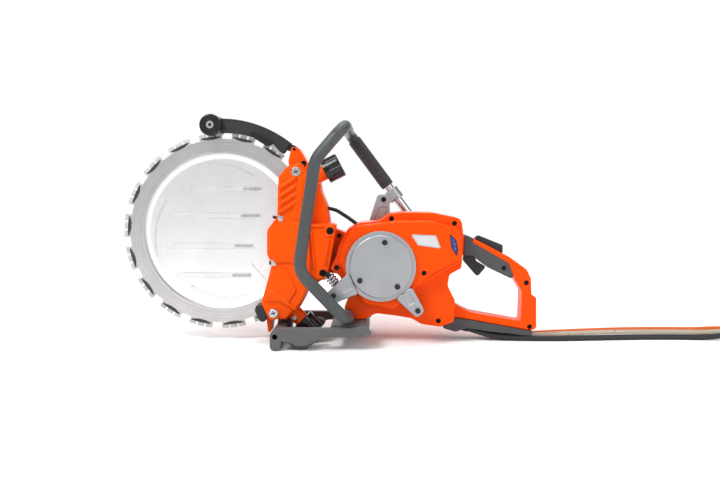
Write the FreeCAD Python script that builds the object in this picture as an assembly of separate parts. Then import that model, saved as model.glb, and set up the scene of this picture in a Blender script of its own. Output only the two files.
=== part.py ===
import FreeCAD, Part
import math
import os

# Electric ring saw for concrete.
# Millimetres. While it is drawn, X = 0 is the drive shaft, Y = 0 is the plane of the ring blade,
# Z = 0 is the floor, +X points to the rear handle and -Y to the cover side.
# At export the whole machine is moved so that its origin is the bottom centre of its box.

Vector = FreeCAD.Vector
ALONG_Y = Vector(0, 1, 0)

# ---- ring blade -------------------------------------------------------------------------------
RING_DIAMETER = 370.0
RING_WIDTH = 40.3
CORE_THICKNESS = 3.0
BEAD_WIDTH = 5.3
BEAD_THICKNESS = 4.6
NOSE_THICKNESS = 1.2
NOSE_WIDTH = 3.3
SEGMENT_HEIGHT = 11.0
SEGMENT_THICKNESS = 5.0
SEGMENT_COUNT = 18
SEGMENT_SPAN = 13.9
SEGMENT_NOTCH = 4.0
SIDE_GAP = 3.5

# ---- drive line -------------------------------------------------------------------------------
AXIS_PITCH = -9.0
DRIVE_HEIGHT = 189.0
WHEEL_RADIUS = 25.4
WHEEL_GROOVE_DEPTH = 3.4
WHEEL_WIDTH = 16.0
RUNNING_GAP = 0.15
DRIVE_SHAFT_RADIUS = 7.0
DRIVE_BEARING_RADIUS = 13.0
DRIVEN_PULLEY_RADIUS = 19.0
BEARING_WIDTH = 7.0
SHAFT_FIT = 0.03
BELT_THICKNESS = 3.0
BELT_WIDTH = 11.0
BELT_GAP = 0.3

# ---- motor ------------------------------------------------------------------------------------
MOTOR_X = 180.0
MOTOR_Z = 146.0
STATOR_RADIUS = 50.0
STATOR_BORE = 28.0
AIR_GAP = 0.6
MOTOR_SHAFT_RADIUS = 6.0
MOTOR_PULLEY_RADIUS = 15.0
MOTOR_BEARING_RADIUS = 13.0
MOTOR_END = 6.0

# ---- rollers that carry the ring --------------------------------------------------------------
ROLLER_RADIUS = 9.0
ROLLER_BORE = 3.0
ROLLER_OFFSET = 96.1
ROLLER_LIFT = 0.1
ROLLER_SIDE_GAP = 0.25
ROLLER_WIDTH = 10.5
PIVOT_U = 3.1
PIVOT_V = 132.0
PIVOT_RADIUS = 3.5
LEVER_HUB_RADIUS = 6.2
PIVOT_HEAD_RADIUS = 8.4
LEVER_WIDTH = 15.0
LEVER_NEAR = -26.0
LEVER_FAR = -14.0
KNOB_U = 68.4
KNOB_V = 149.5
KNOB_TILT = 36.0
KNOB_RADIUS = 23.0
KNOB_LENGTH = 32.0
KNOB_Y = -21.0
KNOB_ROD_RADIUS = 4.0
KNOB_BOSS_RADIUS = 14.0
KNOB_BOSS_LENGTH = 25.0
KNOB_SPRING_LENGTH = 17.0

# ---- castings in front ------------------------------------------------------------------------
COVER_DEPTH = 45.0
COVER_RIM_DEPTH = 14.0
COVER_BLOCK_DEPTH = 35.0
COVER_WALL = 3.5
ARM_DEPTH = 46.0
ARM_WALL = 4.0
ARM_FLOOR = 10.0
BELT_COVER_THICKNESS = 4.0
DISC_RADIUS_GAP = 8.7
DISC_THICKNESS = 3.0

# ---- blade guard ------------------------------------------------------------------------------
GUARD_PIVOT_X = 17.0
GUARD_PIVOT_Z = 362.0
GUARD_CLEARANCE = 22.5
GUARD_ROOF = 4.0
GUARD_HALF_WIDTH = 15.0
GUARD_WALL = 4.0
GUARD_SPAN = 40.0
GUARD_LUG_HALF_WIDTH = 5.5
GUARD_PIN_RADIUS = 3.0
GUARD_ROLLER_RADIUS = 20.5
GUARD_ROLLER_WIDTH = 12.0
GUARD_AXLE_RADIUS = 4.0

# ---- housing ----------------------------------------------------------------------------------
SPLIT_Y = 10.0
HOUSING_RIM = 44.0
HOUSING_HALF_WIDTH = 65.0
HOUSING_WALL = 3.0
HANDLE_HALF_WIDTH = 22.0
GRIP_WALL = 4.0
GRIP_PROUD = 2.0
SCREW_RADIUS = 2.2
SCREW_HEAD_RADIUS = 4.2
SCREW_HEAD_HEIGHT = 4.0
SCREW_RECESS = 4.0
SCREW_REACH = 14.0
SCREW_BOSS_RADIUS = 6.5
SIDE_COVER_RADIUS = 64.0
SIDE_COVER_HEIGHT = 14.0
TRIGGER_WIDTH = 18.0
LOCKOUT_WIDTH = 14.0
CONTROL_PIN_RADIUS = 2.0
CONTROL_GAP = 0.6

# ---- front handle and foot --------------------------------------------------------------------
HANDLE_HALF_SPAN = 110.0
TUBE_RADIUS = 9.5
SLEEVE_RADIUS = 11.0
GRIP_RADIUS = 13.5
FOOT_HALF_WIDTH = 100.0
FOOT_BAR_BORE = 5.0
FOOT_BAR_BORE_DEPTH = 30.0
FOOT_PLATE_TOP = 44.0

# ---- cords: radius, exit from the object, length of the connector -----------------------------
CABLE_RADIUS = 5.3
HOSE_RADIUS = 4.0
RETURN_HOSE_RADIUS = 4.25
GLAND_LENGTH = 24.0

CORE_INNER = RING_DIAMETER / 2 - RING_WIDTH
BEAD_OUTER = CORE_INNER + BEAD_WIDTH
SEGMENT_INNER = RING_DIAMETER / 2 - SEGMENT_HEIGHT
CASTING_FACE = SEGMENT_THICKNESS / 2 + SIDE_GAP
RING_DISTANCE = CORE_INNER - (WHEEL_RADIUS - WHEEL_GROOVE_DEPTH) - RUNNING_GAP
ROLLER_ORBIT = BEAD_OUTER + ROLLER_LIFT + ROLLER_RADIUS
HOUSING_NEAR = SPLIT_Y - HOUSING_HALF_WIDTH
TONGUE_FACE = SPLIT_Y
BELT_Y = CASTING_FACE + ARM_FLOOR + 13.0


def machine(u, v):
    """Point of the tilted machine axis system, u along the axis and v square to it."""
    pitch = math.radians(AXIS_PITCH)
    x = u * math.cos(pitch) - v * math.sin(pitch)
    z = DRIVE_HEIGHT + u * math.sin(pitch) + v * math.cos(pitch)
    return x, z


RING_X, RING_Z = machine(-RING_DISTANCE, 0)
ROLLER_U = math.sqrt(ROLLER_ORBIT ** 2 - ROLLER_OFFSET ** 2) - RING_DISTANCE


def around_ring(radius, degrees):
    """X and Z of a point given by its radius and angle about the ring's centre."""
    angle = math.radians(degrees)
    return RING_X + radius * math.cos(angle), RING_Z + radius * math.sin(angle)


# ---- small makers -----------------------------------------------------------------------------
def rounded_wire(corners, y=0.0):
    """Closed outline in the plane Y = y from corners (x, z) or (x, z, radius)."""
    edges = []
    count = len(corners)
    starts = []
    for index in range(count):
        before = corners[index - 1]
        here = corners[index]
        after = corners[(index + 1) % count]
        point = Vector(here[0], y, here[1])
        to_before = (Vector(before[0], y, before[1]) - point).normalize()
        to_after = (Vector(after[0], y, after[1]) - point).normalize()
        radius = here[2] if len(here) > 2 else 0.0
        if radius <= 0.0:
            starts.append((point, None, point))
            continue
        half = to_before.getAngle(to_after) / 2
        reach = radius / math.tan(half)
        centre = point + (to_before + to_after).normalize() * (radius / math.sin(half))
        middle = centre + (point - centre).normalize() * radius
        starts.append((point + to_before * reach, middle, point + to_after * reach))
    for index in range(count):
        first, middle, last = starts[index]
        if middle is not None:
            edges.append(Part.Arc(first, middle, last).toShape())
        following = starts[(index + 1) % count][0]
        if (following - last).Length > 1e-6:
            edges.append(Part.LineSegment(last, following).toShape())
    return Part.Wire(edges)


def prism(corners, y_low, y_high):
    """Solid of a rounded outline between two planes square to Y."""
    face = Part.Face(rounded_wire(corners, y_low))
    return face.extrude(Vector(0, y_high - y_low, 0))


def inset_prism(corners, inset, y_low, y_high):
    """The same outline drawn in by a wall's thickness."""
    wire = rounded_wire(corners, y_low).makeOffset2D(-inset)
    return Part.Face(wire).extrude(Vector(0, y_high - y_low, 0))


def rod(x, z, radius, y_low, y_high):
    """Cylinder along Y."""
    return Part.makeCylinder(radius, y_high - y_low, Vector(x, y_low, z), ALONG_Y)


def tube(x, z, outer, inner, y_low, y_high):
    """Hollow cylinder along Y."""
    return rod(x, z, outer, y_low, y_high).cut(rod(x, z, inner, y_low, y_high))


def box(x_low, x_high, y_low, y_high, z_low, z_high):
    """Box between two corners."""
    corner = Vector(x_low, y_low, z_low)
    return Part.makeBox(x_high - x_low, y_high - y_low, z_high - z_low, corner)


def rod_between(start, end, radius):
    """Cylinder from one point to another."""
    return Part.makeCylinder(radius, (end - start).Length, start, end - start)


def revolve_about(x, z, profile, degrees=360.0, start_degrees=0.0):
    """Profile of (radius, y) corners turned about a Y axis through (x, z)."""
    points = [Vector(x + radius, y, z) for radius, y in profile]
    face = Part.Face(Part.makePolygon(points + [points[0]]))
    centre = Vector(x, 0, z)
    face.rotate(centre, ALONG_Y, -start_degrees)
    return face.revolve(centre, ALONG_Y, -degrees)


def in_plane(plane_y, edge):
    """True for an edge that lies wholly in the plane Y = plane_y."""
    bounds = edge.BoundBox
    return abs(bounds.YMin - plane_y) < 1e-4 and abs(bounds.YMax - plane_y) < 1e-4


def soften(shape, plane_y, radius):
    """Round every edge that lies in the plane Y = plane_y."""
    edges = [edge for edge in shape.Edges if in_plane(plane_y, edge)]
    return shape.makeFillet(radius, edges)


def joined(shapes):
    """One solid from several that touch."""
    return shapes[0].multiFuse(shapes[1:]).removeSplitter()


def group(shapes):
    """Separate solids kept together as one node."""
    solids = []
    for shape in shapes:
        solids += shape.Solids
    return Part.makeCompound(solids)


def mirrored(shape):
    """The same shape on the other side of the housing's split plane."""
    return shape.mirror(Vector(0, SPLIT_Y, 0), ALONG_Y)


def bent_path(points, radii):
    """Straight runs joined by tangent arcs."""
    edges = []
    last = points[0]
    for index in range(1, len(points) - 1):
        point = points[index]
        back = (points[index - 1] - point).normalize()
        ahead = (points[index + 1] - point).normalize()
        half = back.getAngle(ahead) / 2
        reach = radii[index - 1] / math.tan(half)
        centre = point + (back + ahead).normalize() * (radii[index - 1] / math.sin(half))
        middle = centre + (point - centre).normalize() * radii[index - 1]
        first = point + back * reach
        edges.append(Part.LineSegment(last, first).toShape())
        edges.append(Part.Arc(first, middle, point + ahead * reach).toShape())
        last = point + ahead * reach
    edges.append(Part.LineSegment(last, points[-1]).toShape())
    return Part.Wire(edges)


def bent_tube(points, radii, outer, inner):
    """Round tube of straight runs joined by tangent arcs, solid where the inner radius is 0."""
    pieces = []
    last = points[0]
    for index in range(1, len(points) - 1):
        point = points[index]
        back = (points[index - 1] - point).normalize()
        ahead = (points[index + 1] - point).normalize()
        half = back.getAngle(ahead) / 2
        reach = radii[index - 1] / math.tan(half)
        centre = point + (back + ahead).normalize() * (radii[index - 1] / math.sin(half))
        first = point + back * reach
        second = point + ahead * reach
        pieces.append(ring_face(last, first - last, outer, inner).extrude(first - last))
        turn_axis = (first - centre).cross(second - centre)
        bend = ring_face(first, point - first, outer, inner)
        pieces.append(bend.revolve(centre, turn_axis, math.degrees(math.pi - 2 * half)))
        last = second
    pieces.append(ring_face(last, points[-1] - last, outer, inner).extrude(points[-1] - last))
    return joined(pieces)


def ring_face(centre, direction, outer, inner):
    """Flat disc square to a direction, with a hole where the inner radius isn't 0."""
    circles = [Part.makeCircle(radius, centre, direction) for radius in (outer, inner) if radius > 0]
    return Part.makeFace([Part.Wire(circle) for circle in circles], "Part::FaceMakerBullseye")


def swept(path, radius):
    """Round bar along a path."""
    start = path.Edges[0].Vertexes[0].Point
    direction = path.Edges[0].Vertexes[-1].Point - start
    circle = Part.Wire(Part.Circle(start, direction, radius).toShape())
    return path.makePipeShell([circle], True, True)


def coil(start, end, radius, wire_radius, turns):
    """Helical spring from start to end."""
    length = (end - start).Length
    helix = Part.makeHelix(length / turns, length, radius)
    circle = Part.Wire(Part.Circle(Vector(radius, 0, 0), ALONG_Y, wire_radius).toShape())
    spring = Part.Wire(helix).makePipeShell([circle], True, True)
    turn = FreeCAD.Rotation(Vector(0, 0, 1), end - start)
    spring.Placement = FreeCAD.Placement(start, turn)
    return spring


def screw(x, z, head_y, length, radius=SCREW_RADIUS, head=SCREW_HEAD_RADIUS):
    """Socket screw whose head's outer face is at head_y and whose shank runs to +Y."""
    socket = revolve_about(x, z, [(0, head_y - 1), (head * 0.45, head_y - 1),
                                  (head * 0.45, head_y + 2), (0, head_y + 2)])
    body = rod(x, z, head, head_y, head_y + SCREW_HEAD_HEIGHT)
    shank = rod(x, z, radius, head_y + SCREW_HEAD_HEIGHT, head_y + length)
    return joined([body, shank]).cut(socket)


def hull_outline(first_x, first_z, first_radius, second_x, second_z, second_radius):
    """Belt-like outline round two circles, as a face in the plane Y = 0."""
    span = math.hypot(second_x - first_x, second_z - first_z)
    lean = math.acos((first_radius - second_radius) / span)
    heading = math.atan2(second_z - first_z, second_x - first_x)

    def on_circle(x, z, radius, angle):
        return Vector(x + radius * math.cos(angle), 0, z + radius * math.sin(angle))

    upper_first = on_circle(first_x, first_z, first_radius, heading + lean)
    upper_second = on_circle(second_x, second_z, second_radius, heading + lean)
    lower_first = on_circle(first_x, first_z, first_radius, heading - lean)
    lower_second = on_circle(second_x, second_z, second_radius, heading - lean)
    far_second = on_circle(second_x, second_z, second_radius, heading)
    far_first = on_circle(first_x, first_z, first_radius, heading + math.pi)
    edges = [Part.LineSegment(upper_first, upper_second).toShape(),
             Part.Arc(upper_second, far_second, lower_second).toShape(),
             Part.LineSegment(lower_second, lower_first).toShape(),
             Part.Arc(lower_first, far_first, upper_first).toShape()]
    return Part.Face(Part.Wire(edges))


def hull_prism(first, second, y_low, y_high):
    """Solid round two circles (x, z, radius)."""
    face = hull_outline(*first, *second)
    face.translate(Vector(0, y_low, 0))
    return face.extrude(Vector(0, y_high - y_low, 0))


# ---- ring blade -------------------------------------------------------------------------------
def make_ring_core():
    half = CORE_THICKNESS / 2
    bead = BEAD_THICKNESS / 2
    nose = NOSE_THICKNESS / 2
    profile = [(CORE_INNER, -nose), (CORE_INNER + NOSE_WIDTH, -bead), (BEAD_OUTER, -bead),
               (BEAD_OUTER, -half), (SEGMENT_INNER, -half), (SEGMENT_INNER, half),
               (BEAD_OUTER, half), (BEAD_OUTER, bead), (CORE_INNER + NOSE_WIDTH, bead),
               (CORE_INNER, nose)]
    return revolve_about(RING_X, RING_Z, profile)


def make_diamond_segments():
    half = SEGMENT_THICKNESS / 2
    outer = RING_DIAMETER / 2
    foot_outer = outer - SEGMENT_HEIGHT * 0.6
    pitch = 360.0 / SEGMENT_COUNT
    block_span = (SEGMENT_SPAN - 2 * SEGMENT_NOTCH * 180 / (math.pi * outer)) / 3
    block_step = block_span + SEGMENT_NOTCH * 180 / (math.pi * outer)
    segments = []
    for index in range(SEGMENT_COUNT):
        start = 17.0 + index * pitch - SEGMENT_SPAN / 2
        pieces = [revolve_about(RING_X, RING_Z, [(SEGMENT_INNER, -half), (foot_outer, -half),
                                                 (foot_outer, half), (SEGMENT_INNER, half)],
                                SEGMENT_SPAN, start)]
        for block in range(3):
            pieces.append(revolve_about(RING_X, RING_Z,
                                        [(foot_outer, -half), (outer, -half),
                                         (outer, half), (foot_outer, half)],
                                        block_span, start + block * block_step))
        segments.append(joined(pieces))
    return Part.makeCompound(segments)


DISC_SLOTS = ((10, 79, 128), (-11, 28, 163), (-21, -29, 158), (-13, -85, 134))
CLIP_SPOTS = ((-15.2, 42.5), (-15.2, -42.5))


def make_centre_disc():
    radius = CORE_INNER - DISC_RADIUS_GAP
    half = DISC_THICKNESS / 2
    disc = rod(RING_X, RING_Z, radius, -half, half)
    disc = disc.cut(rod(0, DRIVE_HEIGHT, WHEEL_RADIUS + 3.0, -half, half))
    for x, z, length in DISC_SLOTS:
        slot = hull_prism((RING_X + x - length / 2 + 6, RING_Z + z, 6.5),
                          (RING_X + x + length / 2 - 6, RING_Z + z - 0.01, 6.5), -half - 1, 1.0 - half)
        slot.rotate(Vector(RING_X + x, 0, RING_Z + z), ALONG_Y, -AXIS_PITCH)
        disc = disc.cut(slot)
    return disc


def clip_places():
    """Where the two clips hold the centre disc to the arm."""
    places = []
    for u, v in CLIP_SPOTS:
        places.append(machine(u, v))
    return places


def make_disc_clips():
    half = DISC_THICKNESS / 2
    clips = []
    for x, z in clip_places():
        head = rod(x, z, 6.0, -half - 4, -half)
        clips.append(head.cut(rod(x, z, 2.5, -half - 5, -half - 2)))
    return Part.makeCompound(clips)


# ---- drive line -------------------------------------------------------------------------------
def make_drive_wheel():
    half = WHEEL_WIDTH / 2
    floor = WHEEL_RADIUS - WHEEL_GROOVE_DEPTH
    profile = [(DRIVE_SHAFT_RADIUS, -half), (WHEEL_RADIUS, -half), (WHEEL_RADIUS, -3.0),
               (floor, -1.0), (floor, 1.0), (WHEEL_RADIUS, 3.0), (WHEEL_RADIUS, half),
               (DRIVE_SHAFT_RADIUS, half)]
    return revolve_about(0, DRIVE_HEIGHT, profile)


def drive_bearing_spans():
    first = CASTING_FACE + 5.0
    return [(first, first + BEARING_WIDTH),
            (first + BEARING_WIDTH + 0.5, first + 2 * BEARING_WIDTH + 0.5)]


def make_drive_shaft():
    end = BELT_Y + BELT_WIDTH + 2.0
    shaft = rod(0, DRIVE_HEIGHT, DRIVE_SHAFT_RADIUS, -WHEEL_WIDTH / 2 - 4, end)
    nut = rod(0, DRIVE_HEIGHT, DRIVE_SHAFT_RADIUS + 4, -WHEEL_WIDTH / 2 - 6, -WHEEL_WIDTH / 2)
    return joined([shaft, nut])


def ribbed_pulley(x, z, radius, bore, y_low, width):
    """Poly-V belt pulley with a flange on each side."""
    profile = [(bore, y_low), (radius + 2, y_low), (radius + 2, y_low + 1), (radius, y_low + 1)]
    grooves = 4
    step = (width - 2) / grooves
    for index in range(grooves):
        base = y_low + 1 + index * step
        profile.append((radius - 1.2, base + step / 2))
        profile.append((radius, base + step))
    profile += [(radius + 2, y_low + width - 1), (radius + 2, y_low + width), (bore, y_low + width)]
    return revolve_about(x, z, profile)


def make_driven_pulley():
    return ribbed_pulley(0, DRIVE_HEIGHT, DRIVEN_PULLEY_RADIUS, DRIVE_SHAFT_RADIUS,
                         BELT_Y - 1.0, BELT_WIDTH + 2.0)


def make_motor_pulley():
    return ribbed_pulley(MOTOR_X, MOTOR_Z, MOTOR_PULLEY_RADIUS, MOTOR_SHAFT_RADIUS,
                         BELT_Y - 1.0, BELT_WIDTH + 2.0)


def make_drive_bearings():
    inner = DRIVE_SHAFT_RADIUS + SHAFT_FIT
    return Part.makeCompound([tube(0, DRIVE_HEIGHT, DRIVE_BEARING_RADIUS, inner, low, high)
                              for low, high in drive_bearing_spans()])


def make_drive_belt():
    inside = hull_prism((0, DRIVE_HEIGHT, DRIVEN_PULLEY_RADIUS + BELT_GAP),
                        (MOTOR_X, MOTOR_Z, MOTOR_PULLEY_RADIUS + BELT_GAP), BELT_Y, BELT_Y + BELT_WIDTH)
    grown = BELT_GAP + BELT_THICKNESS
    outside = hull_prism((0, DRIVE_HEIGHT, DRIVEN_PULLEY_RADIUS + grown),
                         (MOTOR_X, MOTOR_Z, MOTOR_PULLEY_RADIUS + grown), BELT_Y, BELT_Y + BELT_WIDTH)
    belt = outside.cut(inside)
    for x, z, radius in ((0, DRIVE_HEIGHT, DRIVEN_PULLEY_RADIUS), (MOTOR_X, MOTOR_Z, MOTOR_PULLEY_RADIUS)):
        for low in (BELT_Y - 1.0, BELT_Y + BELT_WIDTH):
            belt = belt.cut(rod(x, z, radius + 2 + BELT_GAP, low - BELT_GAP, low + 1.0 + BELT_GAP))
    return belt


MOTOR_BEARING_START = HOUSING_NEAR + HOUSING_WALL + 1.0
MOTOR_BEARING_SPANS = ((MOTOR_BEARING_START, MOTOR_BEARING_START + BEARING_WIDTH),
                       (TONGUE_FACE + 1.0, TONGUE_FACE + 1.0 + BEARING_WIDTH))
STATOR_NEAR = MOTOR_BEARING_SPANS[0][1] + 3.0
STATOR_FAR = SPLIT_Y - MOTOR_END


def make_motor_shaft():
    shaft_end = HOUSING_NEAR + HOUSING_WALL + 1.5
    return rod(MOTOR_X, MOTOR_Z, MOTOR_SHAFT_RADIUS, shaft_end, BELT_Y + BELT_WIDTH + 2.0)


def make_motor_rotor():
    rotor_radius = STATOR_BORE - AIR_GAP
    return tube(MOTOR_X, MOTOR_Z, rotor_radius, MOTOR_SHAFT_RADIUS, STATOR_NEAR + 1, STATOR_FAR - 1)


def make_motor_stator():
    stator = tube(MOTOR_X, MOTOR_Z, STATOR_RADIUS, STATOR_BORE, STATOR_NEAR, STATOR_FAR)
    for index in range(12):
        angle = 2 * math.pi * index / 12
        reach = (STATOR_RADIUS + STATOR_BORE) / 2 - 2.0
        slot_radius = (STATOR_RADIUS - STATOR_BORE) / 5.5
        stator = stator.cut(rod(MOTOR_X + reach * math.cos(angle), MOTOR_Z + reach * math.sin(angle),
                                slot_radius, STATOR_NEAR, STATOR_FAR))
    return stator


def make_motor_bearings():
    inner = MOTOR_SHAFT_RADIUS + SHAFT_FIT
    return Part.makeCompound([tube(MOTOR_X, MOTOR_Z, MOTOR_BEARING_RADIUS, inner, low, high)
                              for low, high in MOTOR_BEARING_SPANS])


# ---- rollers, levers, knobs -------------------------------------------------------------------
def roller_place(side):
    """Centre of the roller pair above (side 1) or below (side -1) the machine axis."""
    return machine(ROLLER_U, side * ROLLER_OFFSET)


def pivot_place(side):
    return machine(PIVOT_U, side * PIVOT_V)


def knob_axis(side):
    """Direction from the machine towards the knob."""
    tilt = math.radians(AXIS_PITCH + side * KNOB_TILT)
    return Vector(math.cos(tilt), 0, math.sin(tilt))


def knob_centre(side):
    x, z = machine(KNOB_U, side * KNOB_V)
    return Vector(x, KNOB_Y, z)


def make_support_roller(side):
    x, z = roller_place(side)
    face = -(CORE_THICKNESS / 2 + ROLLER_SIDE_GAP)
    bore = ROLLER_BORE + SHAFT_FIT
    profile = [(bore, face - ROLLER_WIDTH), (ROLLER_RADIUS - 1, face - ROLLER_WIDTH),
               (ROLLER_RADIUS, face - ROLLER_WIDTH + 1), (ROLLER_RADIUS, face), (bore, face)]
    return revolve_about(x, z, profile)


def make_guide_roller(side):
    x, z = roller_place(side)
    face = CORE_THICKNESS / 2 + ROLLER_SIDE_GAP
    bore = ROLLER_BORE + SHAFT_FIT
    profile = [(bore, face), (ROLLER_RADIUS, face), (ROLLER_RADIUS, face + ROLLER_WIDTH - 1),
               (ROLLER_RADIUS - 1, face + ROLLER_WIDTH), (bore, face + ROLLER_WIDTH)]
    return revolve_about(x, z, profile)


def make_roller_lever(side):
    roller_x, roller_z = roller_place(side)
    pivot_x, pivot_z = pivot_place(side)
    arm = hull_prism((pivot_x, pivot_z, LEVER_HUB_RADIUS), (roller_x, roller_z, LEVER_WIDTH / 2),
                     LEVER_NEAR, LEVER_FAR)
    stub = rod(roller_x, roller_z, ROLLER_BORE, LEVER_FAR, -(CORE_THICKNESS / 2 + ROLLER_SIDE_GAP + 0.5))
    lever = joined([arm, stub])
    return lever.cut(rod(pivot_x, pivot_z, PIVOT_RADIUS + SHAFT_FIT, LEVER_NEAR, LEVER_FAR))


def make_roller_pivots():
    pivots = []
    for side in (1, -1):
        x, z = pivot_place(side)
        head = rod(x, z, PIVOT_HEAD_RADIUS, -COVER_DEPTH - 3.0, -COVER_DEPTH)
        head = soften(head, -COVER_DEPTH - 3.0, 1.0)
        shank = rod(x, z, PIVOT_RADIUS, -COVER_DEPTH, -CASTING_FACE - 2.0)
        pivots.append(joined([head, shank]).cut(box(x - 4, x + 4, -COVER_DEPTH - 4, -COVER_DEPTH - 1.5,
                                                    z - 0.8, z + 0.8)))
    return Part.makeCompound(pivots)


def make_guide_spindles():
    spindles = []
    face = CORE_THICKNESS / 2 + ROLLER_SIDE_GAP
    pocket_floor = face + ROLLER_WIDTH + 0.5
    for side in (1, -1):
        x, z = roller_place(side)
        shank = rod(x, z, ROLLER_BORE, face + 0.5, pocket_floor + 8.0)
        nut = rod(x, z, ROLLER_BORE + 3, pocket_floor + 3.0, pocket_floor + 7.0)
        spindles.append(joined([shank, nut]))
    return Part.makeCompound(spindles)


def make_pressure_knob(side):
    """Star knob with its threaded rod."""
    lobes = 8
    base = knob_centre(side) - knob_axis(side) * (KNOB_LENGTH / 2)
    knob = Part.makeCylinder(KNOB_RADIUS, KNOB_LENGTH)
    rim = [edge for edge in knob.Edges if edge.BoundBox.ZMin > KNOB_LENGTH - 1e-3]
    knob = knob.makeFillet(3.0, rim)
    for index in range(lobes):
        angle = 2 * math.pi * index / lobes
        reach = KNOB_RADIUS + 2.5
        foot = Vector(reach * math.cos(angle), reach * math.sin(angle), 9.0)
        knob = knob.cut(Part.makeCylinder(5.5, KNOB_LENGTH, foot))
    shaft_length = KNOB_BOSS_LENGTH + 2.5
    shaft = Part.makeCylinder(KNOB_ROD_RADIUS, shaft_length, Vector(0, 0, -shaft_length))
    knob = joined([knob, shaft])
    knob.Placement = FreeCAD.Placement(base, FreeCAD.Rotation(Vector(0, 0, 1), knob_axis(side)))
    return knob


def boss_top(side):
    """Outer end of the boss that the knob screws into."""
    return knob_centre(side) - knob_axis(side) * (KNOB_LENGTH / 2 + 0.8)


def make_pressure_springs():
    springs = []
    for side in (1, -1):
        start = boss_top(side) - knob_axis(side) * (KNOB_BOSS_LENGTH + 3.5)
        springs.append(coil(start - knob_axis(side) * KNOB_SPRING_LENGTH, start, 5.0, 0.9, 5))
    return Part.makeCompound(springs)


# ---- roller cover and drive arm ---------------------------------------------------------------
COVER_OUTLINE = [(12, 367, 4), (26, 364, 5), (40, 340, 6), (63, 313, 20), (67, 283, 30), (78, 257, 30),
                 (82, 224, 4), (98, 222, 5), (95, 200, 20), (81, 119, 4), (66, 117, 6), (55, 108, 8),
                 (43, 96, 8), (35, 76, 5), (6, 44, 6), (-28, 47, 6), (-42, 76, 6), (-33, 106, 20),
                 (-22, 148, 8), (-31, 165, 22), (-31, 212, 22), (-12, 236, 8), (-11, 289, 8),
                 (-9, 312, 6), (8, 324, 5), (6, 340, 4)]
POD_OUTLINE = [(6, 328, 5), (32, 337, 8), (46, 312, 10), (40, 262, 14), (47, 228, 8), (50, 150, 10),
               (46, 104, 8), (33, 76, 6), (5, 46, 6), (-27, 49, 6), (-41, 76, 6), (-32, 106, 20),
               (-21, 148, 8), (-30, 166, 20), (-30, 211, 20), (-11, 236, 8), (-10, 289, 8), (-8, 311, 5)]
BLOCK_OUTLINE = [(44, 222, 4), (98, 222, 5), (95, 200, 20), (81, 119, 4), (64, 117, 6), (46, 130, 6)]
ARM_FRONT = [(12, 367, 4), (26, 364, 5), (40, 340, 6), (63, 313, 20), (67, 283, 30), (78, 257, 30),
             (83, 228, 4), (84, 214, 4), (78, 116, 6), (66, 112, 6), (43, 96, 8), (35, 76, 6),
             (18, 48, 5), (-26, 48, 4), (-30, 14, 1), (-35, 14, 1), (-42, 76, 6), (-33, 106, 20),
             (-22, 148, 8), (-28, 165, 18), (-28, 212, 18), (-12, 236, 8), (-11, 289, 8),
             (-9, 312, 6), (8, 324, 5), (6, 340, 4)]
ARM_BOLTS = ((86, 209), (73, 131))


def knob_boss(side):
    """Round boss on the cover that carries a knob's rod."""
    top = boss_top(side)
    return rod_between(top - knob_axis(side) * KNOB_BOSS_LENGTH, top, KNOB_BOSS_RADIUS)


def make_roller_cover():
    rim = soften(prism(COVER_OUTLINE, -COVER_RIM_DEPTH, -CASTING_FACE), -COVER_RIM_DEPTH, 2.0)
    pod = soften(prism(POD_OUTLINE, -COVER_DEPTH, -CASTING_FACE), -COVER_DEPTH, 4.0)
    block = soften(prism(BLOCK_OUTLINE, -COVER_BLOCK_DEPTH, -CASTING_FACE), -COVER_BLOCK_DEPTH, 3.0)
    cover = joined([rim, pod, block])
    hollow = inset_prism(POD_OUTLINE, COVER_WALL, -COVER_DEPTH + COVER_WALL, -CASTING_FACE)
    cover = cover.cut(hollow)
    bosses = [knob_boss(side) for side in (1, -1)]
    for side in (1, -1):
        x, z = pivot_place(side)
        near = -COVER_DEPTH + COVER_WALL / 2
        bosses.append(rod(x, z, PIVOT_RADIUS + 4.0, near, LEVER_NEAR - CONTROL_GAP))
    for x, z in ARM_BOLTS:
        bosses.append(rod(x, z, 9.0, -CASTING_FACE - 4.0, 0.0))
    cover = joined([cover] + bosses)
    for side in (1, -1):
        x, z = pivot_place(side)
        cover = cover.cut(rod(x, z, PIVOT_RADIUS, -COVER_DEPTH - 1, -CASTING_FACE))
        top = boss_top(side)
        deep = KNOB_BOSS_LENGTH + 40.0
        cover = cover.cut(rod_between(top + knob_axis(side), top - knob_axis(side) * KNOB_BOSS_LENGTH,
                                      KNOB_ROD_RADIUS + 0.05))
        cover = cover.cut(rod_between(top - knob_axis(side) * KNOB_BOSS_LENGTH,
                                      top - knob_axis(side) * deep, 8.0))
    for x, z in ARM_BOLTS:
        cover = cover.cut(rod(x, z, 7.0, -COVER_BLOCK_DEPTH - 1, -COVER_BLOCK_DEPTH + 6.0))
        cover = cover.cut(rod(x, z, 4.0, -COVER_BLOCK_DEPTH, 1.0))
    return cover.cut(rod(GUARD_PIVOT_X, GUARD_PIVOT_Z, GUARD_PIN_RADIUS, -COVER_DEPTH, 0))


def make_arm_bolts():
    return Part.makeCompound([screw(x, z, -COVER_BLOCK_DEPTH + 2.0, 50.0, 4.0, 6.5) for x, z in ARM_BOLTS])


def tongue_outline():
    """Rear part of the arm, round the motor's pulley."""
    return ((60.0, 175.0, 46.0), (MOTOR_X, MOTOR_Z, MOTOR_BEARING_RADIUS + 16.0))


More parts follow.
